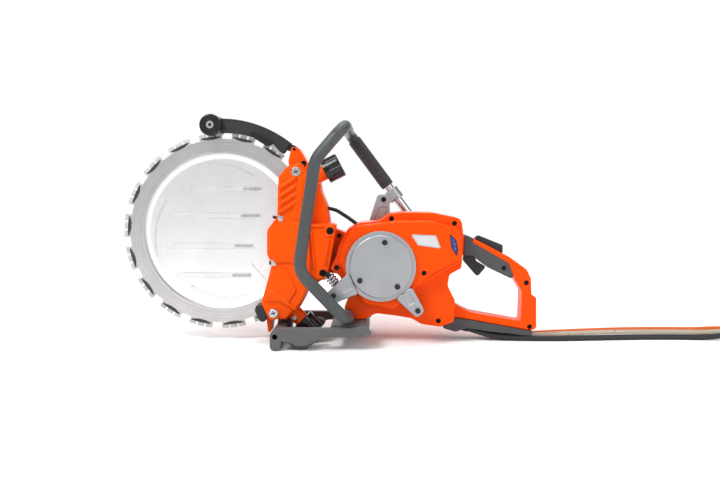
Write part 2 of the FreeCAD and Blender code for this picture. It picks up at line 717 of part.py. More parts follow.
def make_drive_arm():
    front = prism(ARM_FRONT, CASTING_FACE, ARM_DEPTH)
    tongue = hull_prism(*tongue_outline(), TONGUE_FACE, ARM_DEPTH)
    arm = joined([front, tongue])
    floor_y = CASTING_FACE + ARM_FLOOR
    arm = arm.cut(inset_prism(ARM_FRONT, ARM_WALL, floor_y, ARM_DEPTH))
    inner = [(x, z, radius - ARM_WALL) for x, z, radius in tongue_outline()]
    arm = arm.cut(hull_prism(inner[0], inner[1], floor_y, ARM_DEPTH))
    bearing_end = drive_bearing_spans()[1][1]
    bosses = [rod(0, DRIVE_HEIGHT, DRIVE_BEARING_RADIUS + 4.0, floor_y - 1, bearing_end),
              rod(MOTOR_X, MOTOR_Z, MOTOR_BEARING_RADIUS + 4.0, TONGUE_FACE, MOTOR_BEARING_SPANS[1][1])]
    bosses += [rod(x, z, 9.0, 0.0, floor_y) for x, z in ARM_BOLTS]
    bosses += [rod(x, z, 7.0, DISC_THICKNESS / 2, floor_y) for x, z in clip_places()]
    arm = joined([arm] + bosses)
    arm = arm.cut(rod(0, DRIVE_HEIGHT, WHEEL_RADIUS + 3.0, CASTING_FACE, WHEEL_WIDTH / 2 + 1.5))
    arm = arm.cut(rod(0, DRIVE_HEIGHT, DRIVE_BEARING_RADIUS, CASTING_FACE, bearing_end))
    arm = arm.cut(rod(MOTOR_X, MOTOR_Z, MOTOR_BEARING_RADIUS, TONGUE_FACE - 1, MOTOR_BEARING_SPANS[1][1]))
    pocket_floor = CORE_THICKNESS / 2 + ROLLER_SIDE_GAP + ROLLER_WIDTH + 0.5
    for side in (1, -1):
        x, z = roller_place(side)
        arm = arm.cut(rod(x, z, ROLLER_RADIUS + 1.5, CASTING_FACE, pocket_floor))
        arm = arm.cut(rod(x, z, ROLLER_BORE, pocket_floor, pocket_floor + 3.0))
        arm = arm.cut(rod(x, z, ROLLER_BORE + 3.1, pocket_floor + 3.0, floor_y))
    for x, z in ARM_BOLTS:
        arm = arm.cut(rod(x, z, 4.0, -1, floor_y + 1))
    return arm.cut(rod(GUARD_PIVOT_X, GUARD_PIVOT_Z, GUARD_PIN_RADIUS, 0, ARM_DEPTH))


def make_belt_cover():
    front = prism(ARM_FRONT, ARM_DEPTH, ARM_DEPTH + BELT_COVER_THICKNESS)
    tongue = hull_prism(*tongue_outline(), ARM_DEPTH, ARM_DEPTH + BELT_COVER_THICKNESS)
    return soften(joined([front, tongue]), ARM_DEPTH + BELT_COVER_THICKNESS, 1.5)


# ---- blade guard ------------------------------------------------------------------------------
GUARD_START = math.degrees(math.atan2(GUARD_PIVOT_Z - RING_Z, GUARD_PIVOT_X - RING_X)) + 3.4
GUARD_OUTER = RING_DIAMETER / 2 + GUARD_CLEARANCE + GUARD_ROOF


def guard_tip():
    return around_ring(GUARD_OUTER - GUARD_ROOF - 8.0, GUARD_START + GUARD_SPAN + 3.5)


def make_blade_guard():
    low = RING_DIAMETER / 2 + 1.0
    roof = GUARD_OUTER - GUARD_ROOF
    wide = GUARD_HALF_WIDTH
    slim = GUARD_HALF_WIDTH - GUARD_WALL
    profile = [(low, -wide), (GUARD_OUTER, -wide), (GUARD_OUTER, wide), (low, wide), (low, slim),
               (roof, slim), (roof, -slim), (low, -slim)]
    channel = revolve_about(RING_X, RING_Z, profile, GUARD_SPAN, GUARD_START)
    end_x, end_z = around_ring(roof - 8.0, GUARD_START + 4.0)
    lug = hull_prism((GUARD_PIVOT_X, GUARD_PIVOT_Z, 6.5), (end_x, end_z, 7.5),
                     -GUARD_LUG_HALF_WIDTH, GUARD_LUG_HALF_WIDTH)
    bridge_low = around_ring(roof - 4.0, GUARD_START + 3.0)
    bridge = rod(*bridge_low, 4.5, -wide + 1, wide - 1)
    tip_x, tip_z = guard_tip()
    neck_x, neck_z = around_ring(roof - 6.0, GUARD_START + GUARD_SPAN - 2.0)
    neck_half = GUARD_LUG_HALF_WIDTH * 2
    neck = hull_prism((neck_x, neck_z, 9.0), (tip_x, tip_z, 8.0), -neck_half, neck_half)
    neck = neck.cut(rod(RING_X, RING_Z, RING_DIAMETER / 2 + 3.0, -wide, wide))
    guard = joined([channel, lug, bridge, neck])
    guard = guard.cut(rod(tip_x, tip_z, GUARD_AXLE_RADIUS, -wide, wide))
    return guard.cut(rod(GUARD_PIVOT_X, GUARD_PIVOT_Z, GUARD_PIN_RADIUS + SHAFT_FIT, -wide, wide))


def make_guard_rollers():
    x, z = guard_tip()
    near = GUARD_HALF_WIDTH + 0.5
    rollers = []
    for low in (-near - GUARD_ROLLER_WIDTH, near):
        bore = GUARD_AXLE_RADIUS + SHAFT_FIT
        roller = tube(x, z, GUARD_ROLLER_RADIUS, bore, low, low + GUARD_ROLLER_WIDTH)
        rollers.append(soften(roller, low if low < 0 else low + GUARD_ROLLER_WIDTH, 2.0))
    return Part.makeCompound(rollers)


def make_guard_axle():
    x, z = guard_tip()
    reach = GUARD_HALF_WIDTH + 0.5 + GUARD_ROLLER_WIDTH
    axle = rod(x, z, GUARD_AXLE_RADIUS, -reach - 0.5, reach + 0.5)
    heads = [rod(x, z, 7.0, -reach - 2.5, -reach - 0.5), rod(x, z, 7.0, reach + 0.5, reach + 2.5)]
    return joined([axle] + heads)


def make_guard_pin():
    return rod(GUARD_PIVOT_X, GUARD_PIVOT_Z, GUARD_PIN_RADIUS, -COVER_RIM_DEPTH - 1.0, ARM_DEPTH - 2.0)


def make_guard_clip():
    face = -GUARD_HALF_WIDTH
    first = around_ring(RING_DIAMETER / 2 + 6.0, GUARD_START + 20.0)
    last = around_ring(RING_DIAMETER / 2 + 3.0, GUARD_START + 10.0)
    return hull_prism((*first, 4.5), (*last, 6.5), face - 7.0, face)


def make_guard_strap():
    face = -GUARD_HALF_WIDTH
    first = around_ring(RING_DIAMETER / 2 + 2.0, GUARD_START + 6.9)
    last = around_ring(RING_DIAMETER / 2 - 2.0, GUARD_START + 1.0)
    return hull_prism((*first, 3.2), (*last, 2.6), face - 1.5, face)


# ---- housing ----------------------------------------------------------------------------------
BODY_OUTLINE = [(86, 138, 3), (101, 128, 3), (126, 96, 8), (112, 66, 2), (133, 44.2, 3), (150, 45.5, 6),
                (172, 56, 14), (205, 52, 20), (236, 47, 15), (256, 36, 12), (290, 31, 8), (316, 40, 8),
                (318, 80, 12), (304, 108, 16), (308, 128, 8), (330, 140, 6), (334, 198, 8), (330, 232, 14),
                (276, 243, 40), (229, 244, 40), (198, 241, 12), (176, 227, 14), (140, 224, 12),
                (118, 212, 12), (102, 180, 8), (98, 163, 10)]
PAD_OUTLINE = [(104, 150, 6), (120, 120, 10), (150, 76, 10), (205, 66, 14), (238, 100, 10), (275, 129, 14),
               (328, 155, 8), (329, 196, 8), (322, 214, 8), (272, 229, 30), (212, 229, 30),
               (164, 223, 14), (138, 220, 10), (122, 208, 10), (108, 180, 10)]
LOOP_OUTER = [(318, 202, 3), (353, 195, 4), (424, 158, 30), (456, 135, 14), (464, 118, 14), (465, 88, 4),
              (474, 82, 5), (474, 21, 9), (460, 20, 4), (350, 40, 8), (322, 44, 8), (306, 38, 6),
              (290, 60, 10), (296, 130, 10)]
FINGER_HOLE = [(308, 128, 8), (303, 108, 16), (322, 68, 22), (350, 54, 12), (445, 37, 4), (447, 92, 10),
               (436, 113, 12), (382, 139, 12), (353, 161, 8), (332, 162, 3), (330, 140, 6)]
LOOP_CAVITY = [(450, 104, 2), (461, 104, 2), (462, 32, 3), (452, 28, 2), (344, 48, 2),
               (346, 52, 1), (449, 33, 2)]
GRIP_OUTLINE = [(338, 201, 4), (353, 195, 3), (354, 186, 2), (422, 147, 10), (434, 114, 5), (382, 139, 12),
                (353, 161, 8), (336, 163, 2)]
GRIP_SEAT = [(338.26, 206, 2), (355, 206, 1), (354, 186, 2), (422, 147, 10), (435.2, 110.7, 2),
             (382, 136, 10), (351, 158.5, 6), (335.84, 160, 2)]
GRIP_CORE = [(334, 197, 2), (349, 191, 2), (350, 182, 2), (418, 145, 6), (426, 124, 3), (384, 144, 10),
             (354, 165, 6), (334, 167, 2)]
STRIP_OUTLINE = [(293, 29, 4), (300, 24, 3), (321, 18, 3), (342, 25, 8), (382, 19, 10), (451, 12, 4),
                 (466, 12, 3), (466, 19.5, 2), (459, 19.7, 3), (350, 39.7, 8), (322, 43.7, 8), (306, 35, 4)]
BODY_SCREWS = ((200, 232), (317, 223), (138, 210), (287, 42))
FRONT_SCREW = (110, 142)
PAD_SCREWS = ((259, 133),)
LOOP_SCREWS = ((455, 110), (461, 27))
TRIGGER_OUTLINE = [(338, 150, 3), (364, 120, 4), (381, 139, 4), (362, 150, 6), (355, 172, 5),
                   (347, 178, 6), (340, 172, 5)]
TRIGGER_PIVOT = (347.0, 171.5)
TRIGGER_SLOT = [(330, 120, 1), (400, 120, 1), (392, 150, 4), (366, 160, 4), (358, 181, 4), (335, 181, 4)]
LOCKOUT_OUTLINE = [(356, 181, 2), (358, 192, 4), (366, 199, 5), (413, 180, 4), (413, 163, 4),
                   (402, 164, 4), (364, 181, 4)]
LOCKOUT_PIVOT = (361.0, 186.0)
LOCKOUT_SLOT = [(353, 183, 1), (352, 215, 1), (416, 215, 1), (416, 153, 2), (402, 154, 4), (364, 174, 4)]


def soft_prism(corners, y_low, y_high, soft_y, radius):
    return soften(prism(corners, y_low, y_high), soft_y, radius)


def loop_solid(y_low, y_high, soft_y, radius):
    """Rear handle loop with its finger hole."""
    loop = prism(LOOP_OUTER, y_low, y_high)
    loop = loop.cut(prism(FINGER_HOLE, y_low - 1, y_high + 1))
    return soften(loop, soft_y, radius)


def grip_seat():
    """Room for the grey grip's sheath, open past the handle's own faces."""
    low = SPLIT_Y - HANDLE_HALF_WIDTH - GRIP_PROUD - 1.0
    return prism(GRIP_SEAT, low, 2 * SPLIT_Y - low).cut(grip_core())


def grip_core():
    low = SPLIT_Y - HANDLE_HALF_WIDTH + GRIP_WALL - GRIP_PROUD
    return prism(GRIP_CORE, low, 2 * SPLIT_Y - low)


def trigger_slot():
    half = TRIGGER_WIDTH / 2 + CONTROL_GAP
    return prism(TRIGGER_SLOT, SPLIT_Y - half, SPLIT_Y + half)


def lockout_slot():
    half = LOCKOUT_WIDTH / 2 + CONTROL_GAP
    return prism(LOCKOUT_SLOT, SPLIT_Y - half, SPLIT_Y + half)


def switch_room():
    return box(395, 407, SPLIT_Y - 7, SPLIT_Y + 7, 140, 150)


def screw_list():
    """Each housing screw's place, the face its head sits under and how far past the split it runs."""
    levels = [(x, z, SPLIT_Y - HOUSING_RIM, SCREW_REACH) for x, z in BODY_SCREWS]
    levels += [(x, z, HOUSING_NEAR, SCREW_REACH) for x, z in PAD_SCREWS]
    levels += [(x, z, SPLIT_Y - HANDLE_HALF_WIDTH, SCREW_REACH) for x, z in LOOP_SCREWS]
    levels.append((*FRONT_SCREW, SPLIT_Y - HOUSING_RIM, -1.0))
    return levels


def outer_half():
    """Near half of the housing before the screws and the grip's seat are cut."""
    rim_y = SPLIT_Y - HOUSING_RIM
    body = soft_prism(BODY_OUTLINE, rim_y, SPLIT_Y, rim_y, 1.9)
    pad = soft_prism(PAD_OUTLINE, HOUSING_NEAR, SPLIT_Y, HOUSING_NEAR, 5.0)
    handle_y = SPLIT_Y - HANDLE_HALF_WIDTH
    loop = loop_solid(handle_y, SPLIT_Y, handle_y, 2.9)
    half = joined([body, pad, loop])
    half = half.cut(inset_prism(BODY_OUTLINE, HOUSING_WALL, rim_y + HOUSING_WALL, SPLIT_Y))
    half = half.cut(inset_prism(PAD_OUTLINE, HOUSING_WALL, HOUSING_NEAR + HOUSING_WALL, SPLIT_Y))
    return half.cut(prism(LOOP_CAVITY, handle_y + HOUSING_WALL, SPLIT_Y))


def screw_bosses():
    bosses = []
    for x, z, face, reach in screw_list():
        bosses.append(rod(x, z, SCREW_BOSS_RADIUS, face + HOUSING_WALL / 2, SPLIT_Y))
    return bosses


def cut_grip_seat(half):
    """Takes the grip's sheath and the control slots out of a housing half."""
    return half.cut(pin_holes()).cut(grip_seat()).cut(trigger_slot()).cut(lockout_slot()).cut(switch_room())


def pin_holes():
    low = SPLIT_Y - HANDLE_HALF_WIDTH + GRIP_WALL - GRIP_PROUD - 0.5
    high = 2 * SPLIT_Y - low
    return group([rod(*TRIGGER_PIVOT, CONTROL_PIN_RADIUS, low, high),
                  rod(*LOCKOUT_PIVOT, CONTROL_PIN_RADIUS, low, high)])


def make_motor_housing_near():
    half = joined([outer_half()] + screw_bosses() + motor_seat_near())
    half = half.cut(rod(MOTOR_X, MOTOR_Z, MOTOR_BEARING_RADIUS, MOTOR_BEARING_SPANS[0][0], STATOR_NEAR))
    for x, z, face, reach in screw_list():
        recess_end = face + SCREW_RECESS + SCREW_HEAD_HEIGHT
        half = half.cut(rod(x, z, SCREW_HEAD_RADIUS + 0.6, face - 1, recess_end))
        half = half.cut(rod(x, z, SCREW_RADIUS, face, SPLIT_Y))
    for x, z in SIDE_SCREWS_ON_PAD:
        half = half.cut(rod(x, z, SCREW_RADIUS, HOUSING_NEAR - 1, HOUSING_NEAR + HOUSING_WALL + 6.0))
    half = half.cut(window_prism(HOUSING_NEAR - 1, HOUSING_NEAR + 2.0))
    return cut_grip_seat(half)


def motor_seat_near():
    """Pocket ring and bearing boss that hold the motor."""
    wall_y = HOUSING_NEAR + HOUSING_WALL
    pocket = tube(MOTOR_X, MOTOR_Z, STATOR_RADIUS + 4.0, STATOR_RADIUS, wall_y - 1, SPLIT_Y)
    boss = rod(MOTOR_X, MOTOR_Z, MOTOR_BEARING_RADIUS + 4.0, wall_y - 1, MOTOR_BEARING_SPANS[0][1])
    bosses = [rod(x, z, SCREW_BOSS_RADIUS, wall_y - 1, wall_y + 7.0) for x, z in SIDE_SCREWS_ON_PAD]
    return [pocket, boss] + bosses


def make_motor_housing_far():
    shape = mirrored(joined([outer_half()] + screw_bosses()))
    for x, z, face, reach in screw_list():
        shape = shape.cut(rod(x, z, SCREW_RADIUS, SPLIT_Y, SPLIT_Y + SCREW_REACH + 2.0))
    inner = [(x, z, radius + CONTROL_GAP) for x, z, radius in tongue_outline()]
    arm_back = ARM_DEPTH + BELT_COVER_THICKNESS + CONTROL_GAP
    shape = shape.cut(hull_prism(inner[0], inner[1], SPLIT_Y, arm_back))
    return cut_grip_seat(shape)


def make_housing_screws():
    screws = []
    for x, z, face, reach in screw_list():
        screws.append(screw(x, z, face + SCREW_RECESS, SPLIT_Y + reach - face - SCREW_RECESS))
    return Part.makeCompound(screws)


SIDE_SCREWS_ON_PAD = ((187, 190), (142, 121), (210, 110))
SIDE_SCREWS_ON_LEGS = ((94, 93), (247, 66))
LEG_ONE = [(79, 95, 6), (98, 80, 8), (140, 96, 6), (122, 136, 6)]
LEG_TWO = [(206, 88, 6), (246, 52, 7), (260, 65, 8), (236, 110, 6)]
SIDE_SCREW_RADIUS = 2.5
SIDE_SCREW_HEAD = 4.8


def make_side_cover():
    face = HOUSING_NEAR
    top = face - SIDE_COVER_HEIGHT
    flange = rod(MOTOR_X, MOTOR_Z, SIDE_COVER_RADIUS, face - 7.0, face)
    dome = soften(rod(MOTOR_X, MOTOR_Z, SIDE_COVER_RADIUS - 7.0, top, face), top, 2.5)
    legs = [soft_prism(corners, face - 10.0, face, face - 10.0, 2.5) for corners in (LEG_ONE, LEG_TWO)]
    cover = joined([flange, dome] + legs)
    cover = cover.cut(rod(MOTOR_X, MOTOR_Z, SIDE_COVER_RADIUS - 12.0, top + 3.0, face))
    posts = [rod(x, z, SCREW_BOSS_RADIUS, top + 1.0, face) for x, z in SIDE_SCREWS_ON_PAD]
    cover = joined([cover] + posts)
    for x, z in SIDE_SCREWS_ON_PAD:
        cover = cover.cut(rod(x, z, SIDE_SCREW_RADIUS, top - 1, face))
    for x, z in SIDE_SCREWS_ON_LEGS:
        cover = cover.cut(rod(x, z, SIDE_SCREW_RADIUS, face - 11.0, face))
    return cover


def make_side_cover_screws():
    screws = []
    for x, z in SIDE_SCREWS_ON_PAD:
        top = HOUSING_NEAR - SIDE_COVER_HEIGHT - SCREW_HEAD_HEIGHT
        length = SIDE_COVER_HEIGHT + SCREW_HEAD_HEIGHT + 2.0
        screws.append(screw(x, z, top, length, SCREW_RADIUS, SIDE_SCREW_HEAD))
    for x, z in SIDE_SCREWS_ON_LEGS:
        top = HOUSING_NEAR - 10.0 - SCREW_HEAD_HEIGHT
        screws.append(screw(x, z, top, 10.0 + SCREW_HEAD_HEIGHT + 8.0, SIDE_SCREW_RADIUS, SIDE_SCREW_HEAD))
    return Part.makeCompound(screws)


def make_vibration_mounts():
    """Rubber blocks behind the two legs of the side cover."""
    mounts = []
    for x, z in SIDE_SCREWS_ON_LEGS:
        far = SPLIT_Y - HOUSING_RIM if (x, z) == SIDE_SCREWS_ON_LEGS[1] else HOUSING_NEAR + 22.0
        mounts.append(tube(x, z, 9.0, SIDE_SCREW_RADIUS, HOUSING_NEAR, far))
    return Part.makeCompound(mounts)


def make_rear_grip():
    low = SPLIT_Y - HANDLE_HALF_WIDTH - GRIP_PROUD
    high = 2 * SPLIT_Y - low
    grip = prism(GRIP_OUTLINE, low, high)
    grip = soften(soften(grip, low, 1.9), high, 1.9)
    return grip.cut(grip_core()).cut(trigger_slot()).cut(lockout_slot()).cut(switch_room())


def channel_room():
    """Passage under the strip where the cords come out."""
    outline = [(317, 10, 1), (317, 37, 2), (348, 33, 4), (406, 21, 1), (406, 0, 1)]
    return prism(outline, SPLIT_Y - HANDLE_HALF_WIDTH + 1.0, SPLIT_Y + HANDLE_HALF_WIDTH - 1.0)


def make_bottom_strip():
    low = SPLIT_Y - HANDLE_HALF_WIDTH - GRIP_PROUD
    high = 2 * SPLIT_Y - low
    strip = prism(STRIP_OUTLINE, low, high)
    return strip.cut(prism(BODY_OUTLINE, low - 1, high + 1)).cut(channel_room()).cut(make_cord_glands())


def make_trigger():
    half = TRIGGER_WIDTH / 2
    trigger = prism(TRIGGER_OUTLINE, SPLIT_Y - half, SPLIT_Y + half)
    pin_hole = rod(*TRIGGER_PIVOT, CONTROL_PIN_RADIUS + SHAFT_FIT, SPLIT_Y - half, SPLIT_Y + half)
    trigger = trigger.cut(pin_hole)
    return trigger.cut(rod(*TRIGGER_PIVOT, 5.0, SPLIT_Y - 3.5, SPLIT_Y + 3.5)).Solids[0]


def make_throttle_lockout():
    half = LOCKOUT_WIDTH / 2
    lever = prism(LOCKOUT_OUTLINE, SPLIT_Y - half, SPLIT_Y + half)
    lever = soften(soften(lever, SPLIT_Y - half, 1.5), SPLIT_Y + half, 1.5)
    return lever.cut(rod(*LOCKOUT_PIVOT, CONTROL_PIN_RADIUS + SHAFT_FIT, SPLIT_Y - half, SPLIT_Y + half))


def make_control_pins():
    low = SPLIT_Y - HANDLE_HALF_WIDTH + GRIP_WALL - GRIP_PROUD
    high = 2 * SPLIT_Y - low
    return Part.makeCompound([rod(*TRIGGER_PIVOT, CONTROL_PIN_RADIUS, low, high),
                              rod(*LOCKOUT_PIVOT, CONTROL_PIN_RADIUS, low, high)])


def make_trigger_spring():
    x, z = TRIGGER_PIVOT
    return coil(Vector(x, SPLIT_Y - 2.8, z), Vector(x, SPLIT_Y + 2.8, z), 3.6, 0.5, 4)


def make_power_switch():
    return box(395, 407, SPLIT_Y - 7, SPLIT_Y + 7, 140, 150)


def window_prism(y_low, y_high):
    outline = [(306, 204, 1), (317, 192, 6), (320, 176, 6), (318, 165, 1), (311, 180, 14)]
    return prism(outline, y_low, y_high)


def make_status_window():
    return window_prism(HOUSING_NEAR + 0.8, HOUSING_NEAR + 2.0)


def make_label_plate():
    outline = [(235, 204, 2), (281, 202, 2), (290, 178, 2), (248, 184, 2)]
    return prism(outline, HOUSING_NEAR - 0.8, HOUSING_NEAR)


# ---- front handle -----------------------------------------------------------------------------
HANDLE_TOP_X = 117.0
HANDLE_TOP_Z = 400.0
HANDLE_END_X = 250.0
HANDLE_END_Z = 220.0
HANDLE_BENDS = [28.0, 45.0, 55.0, 32.0, 15.0, 22.0]
GRIP_START = 16.0
GRIP_LENGTH = 116.0


def handle_points():
    near = -HANDLE_HALF_SPAN
    rest_z = FOOT_PLATE_TOP + SLEEVE_RADIUS
    return [Vector(120, -40, rest_z), Vector(120, near, rest_z),
            Vector(35, near, 143), Vector(64, near, 338), Vector(HANDLE_TOP_X, near, HANDLE_TOP_Z),
            Vector(HANDLE_TOP_X, HANDLE_HALF_SPAN, HANDLE_TOP_Z),
            Vector(HANDLE_END_X, HANDLE_HALF_SPAN, HANDLE_END_Z),
            Vector(HANDLE_END_X, SPLIT_Y + HOUSING_HALF_WIDTH, HANDLE_END_Z)]


def slope_direction():
    """Direction of the far slope of the handle, from the top down to the rear."""
    points = handle_points()
    return (points[6] - points[5]).normalize()


def slope_point(distance):
    return handle_points()[5] + slope_direction() * distance


def make_handle_tube():
    return bent_tube(handle_points(), HANDLE_BENDS, TUBE_RADIUS, 0)


def make_handle_sleeve():
    """Sleeve over the near side and the crossing bar, up to the start of the far grip."""
    points = handle_points()[:6] + [slope_point(GRIP_START)]
    return bent_tube(points, HANDLE_BENDS[:5], SLEEVE_RADIUS, TUBE_RADIUS)


def make_handle_grip():
    start = slope_point(GRIP_START + 0.5)
    end = slope_point(GRIP_START + 0.5 + GRIP_LENGTH)
    grip = rod_between(start, end, GRIP_RADIUS)
    return grip.cut(rod_between(start, end, TUBE_RADIUS))


BRACKET_OUTLINE = [(152, 205, 6), (206, 205, 6), (199, 240, 8), (199, 276, 5), (175, 276, 5)]
BRACKET_HOLE = (186.5, 266.0)
BRACKET_THICKNESS = 8.0
CLAMP_DISTANCE = 154.0


def make_handle_bracket():
    near = SPLIT_Y + HOUSING_HALF_WIDTH
    bracket = soft_prism(BRACKET_OUTLINE, near, near + BRACKET_THICKNESS, near + BRACKET_THICKNESS, 1.5)
    panel = prism([(172, 226, 3), (190, 226, 3), (190, 254, 3), (181, 254, 3)], near + 5.0, near + 9.0)
    hole = rod(*BRACKET_HOLE, 3.0, near - 1, near + BRACKET_THICKNESS + 1)
    return bracket.cut(panel).cut(hole)


def make_handle_clamp():
    near = SPLIT_Y + HOUSING_HALF_WIDTH + BRACKET_THICKNESS
    centre = slope_point(CLAMP_DISTANCE)
    half = slope_direction() * 12.0
    ring = rod_between(centre - half, centre + half, TUBE_RADIUS + 5.0)
    neck_outline = [(179, 257, 4), (190, 277, 4), (204, 286, 4), (212, 270, 4), (194, 253, 4)]
    neck = prism(neck_outline, near, HANDLE_HALF_SPAN)
    clamp = joined([ring, neck])
    clamp = clamp.cut(rod_between(centre - half * 2, centre + half * 2, TUBE_RADIUS))
    return clamp.cut(rod(*BRACKET_HOLE, 3.0, near, near + 16.0))


def make_bracket_screw():
    near = SPLIT_Y + HOUSING_HALF_WIDTH
    length = SCREW_HEAD_HEIGHT + BRACKET_THICKNESS + 12.0
    return screw(*BRACKET_HOLE, near - SCREW_HEAD_HEIGHT, length, 3.0, 5.0)


# ---- foot and flaps ---------------------------------------------------------------------------
BAR_OUTLINE = [(-17, 0, 9), (3, 0, 9), (3, 36, 9), (-17, 36, 9)]
RAIL_OUTLINE = [(-4, 20, 2), (8, 16, 3), (20, 15, 3), (30, 9, 5), (48, 9, 8), (60, 15, 8), (72, 23, 14),
                (125, 25, 20), (163, 28.5, 2), (156, 45, 3), (133, 41.5, 6), (78, 40, 10), (-4, 41, 3)]
BELLY_OUTLINE = [(12, 14, 3), (26, 0, 6), (46, 0, 10), (66, 16, 8), (72, 24, 3), (62, 30, 2), (14, 30, 2)]
PLATE_OUTLINE = [(90, 24.5, 4), (125, 25.5, 20), (160, 29, 2), (154, 44, 3), (90, 43.9, 4)]
RAIL_WIDTH = 14.0
BELLY_NEAR = 58.0
BELLY_WIDTH = 30.0
BAR_BORE_X = -8.0
BAR_BORE_Z = 25.0


def make_foot():
    wide = FOOT_HALF_WIDTH
    bar = prism(BAR_OUTLINE, -wide, wide)
    bar = soften(soften(bar, -wide, 2.0), wide, 2.0)
    pieces = [bar]
    for low in (-wide, wide - RAIL_WIDTH):
        rail = prism(RAIL_OUTLINE, low, low + RAIL_WIDTH)
        pieces.append(soften(soften(rail, low, 1.2), low + RAIL_WIDTH, 1.2))
    belly_far = BELLY_NEAR + BELLY_WIDTH
    pieces.append(soften(prism(BELLY_OUTLINE, -belly_far, -BELLY_NEAR), -belly_far, 2.5))
    pieces.append(soften(prism(BELLY_OUTLINE, BELLY_NEAR, belly_far), belly_far, 2.5))
    pieces.append(prism(PLATE_OUTLINE, -wide + RAIL_WIDTH - 2.0, wide - RAIL_WIDTH + 2.0))
    toe = [(-17, 20, 4), (8, 20, 4), (10, 48, 6), (-16, 48, 6)]
    pieces.append(prism(toe, CASTING_FACE + 2.0, ARM_DEPTH))
    foot = joined(pieces)
    foot = foot.cut(rod_between(handle_points()[0], handle_points()[1], SLEEVE_RADIUS))
    for end, depth in ((-wide, FOOT_BAR_BORE_DEPTH), (wide, -FOOT_BAR_BORE_DEPTH)):
        low = min(end, end + depth)
        foot = foot.cut(rod(BAR_BORE_X, BAR_BORE_Z, FOOT_BAR_BORE, low, low + FOOT_BAR_BORE_DEPTH))
    return foot


FLAP_OUTLINE = [(-54, 62, 6), (-51, 71, 3), (-41, 71, 4), (-31, 59, 6), (-33, 35, 7), (-45, 43, 6)]


def make_splash_flaps():
    near = soft_prism(FLAP_OUTLINE, -COVER_DEPTH + 8.0, -CASTING_FACE - 1.0, -COVER_DEPTH + 8.0, 1.5)
    near = near.cut(prism(COVER_OUTLINE, -COVER_DEPTH - 1, 0))
    return near


# ---- water feed, glands, cords ----------------------------------------------------------------
def make_water_feed_tube():
    y = SPLIT_Y + 12.0
    points = [Vector(72, y, 252), Vector(95, y, 246), Vector(117, y, 232), Vector(136, y, 218)]
    feed = swept(bent_path(points, [30.0, 60.0]), 3.5)
    return feed.cut(prism(ARM_FRONT, 0, ARM_DEPTH)).cut(prism(BODY_OUTLINE, 0, ARM_DEPTH))


CABLE_POINTS = [(346, -4, 22.5), (368, -4.6, 15.4), (394, -6.5, 9.0), (432, -9, 5.6), (490, -12, 5.3),
                (560, -9, 5.3), (640, 0, 5.3), (725, 3, 5.3), (795, -2, 5.3), (830, -6, 9.4),
                (860, -8, 15.5), (884, -11, 15.5)]
WATER_POINTS = [(346, 10, 22.5), (368, 11, 15.0), (394, 14.5, 8.2), (432, 21, 4.4), (500, 35, 4.0),
                (585, 52, 4.0), (675, 62, 4.0), (765, 61, 4.0), (825, 56, 4.4), (860, 52, 7.5),
                (886, 50.5, 7.5)]
RETURN_POINTS = [(346, 24, 22.5), (368, 25, 15.4), (394, 28.5, 8.6), (432, 36, 4.65), (500, 51, 4.25),
                 (580, 71, 4.25), (668, 86, 4.25), (755, 88, 4.25), (815, 83, 4.6), (850, 79, 7.5),
                 (876, 77.5, 7.5)]
CORDS = {"power_cable": (CABLE_POINTS, CABLE_RADIUS), "water_hose": (WATER_POINTS, HOSE_RADIUS),
         "return_hose": (RETURN_POINTS, RETURN_HOSE_RADIUS)}
ARC_SHARE = 0.45


def cord_radii(points):
    """Radius of each arc: as large as its two runs allow."""
    radii = []
    for index in range(1, len(points) - 1):
        back = points[index - 1] - points[index]
        ahead = points[index + 1] - points[index]
        turn = math.pi - back.getAngle(ahead)
        radii.append(ARC_SHARE * min(back.Length, ahead.Length) / math.tan(turn / 2))
    return radii


def make_cord(name):
    route, radius = CORDS[name]
    points = [Vector(*point) for point in route]
    radii = cord_radii(points)
    path = bent_path(points, radii)
    solid = swept(path, radius)
    expected = math.pi * radius ** 2 * path.Length
    print(name, "length", round(path.Length, 1), "least radius", round(min(radii), 1),
          "volume ratio", round(solid.Volume / expected, 4))
    print("   radii", [round(value) for value in radii])
    return solid


def make_cord_glands():
    glands = []
    for name in CORDS:
        route, radius = CORDS[name]
        mouth = Vector(*route[0])
        inward = (mouth - Vector(*route[1])).normalize()
        taper = Part.makeCone(radius + 1.2, radius + 2.6, GLAND_LENGTH, mouth, inward)
        glands.append(taper)
    return Part.makeCompound(glands)


def end_frame(name):
    """Far end of a cord and the direction it points in."""
    route = CORDS[name][0]
    end = Vector(*route[-1])
    return end, (end - Vector(*route[-2])).normalize()


def make_power_connector():
    end, ahead = end_frame("power_cable")
    level = Vector(ahead.x, ahead.y, 0).normalize()
    sleeve = Part.makeCone(CABLE_RADIUS + 1.0, 11.0, 20.0, end, level)
    shell = Part.makeCylinder(15.0, 46.0, end + level * 20.0, level)
    collar = Part.makeCylinder(15.5, 12.0, end + level * 48.0, level)
    mouth = Part.makeCylinder(12.0, 18.0, end + level * 48.0, level)
    plug = joined([sleeve, shell, collar]).cut(mouth)
    pins = []
    for index in range(3):
        angle = 2 * math.pi * index / 3
        side = Vector(-level.y, level.x, 0) * (6.0 * math.cos(angle)) + Vector(0, 0, 6.0 * math.sin(angle))
        pins.append(Part.makeCylinder(1.8, 15.0, end + level * 47.5 + side, level))
    return joined([plug] + pins)


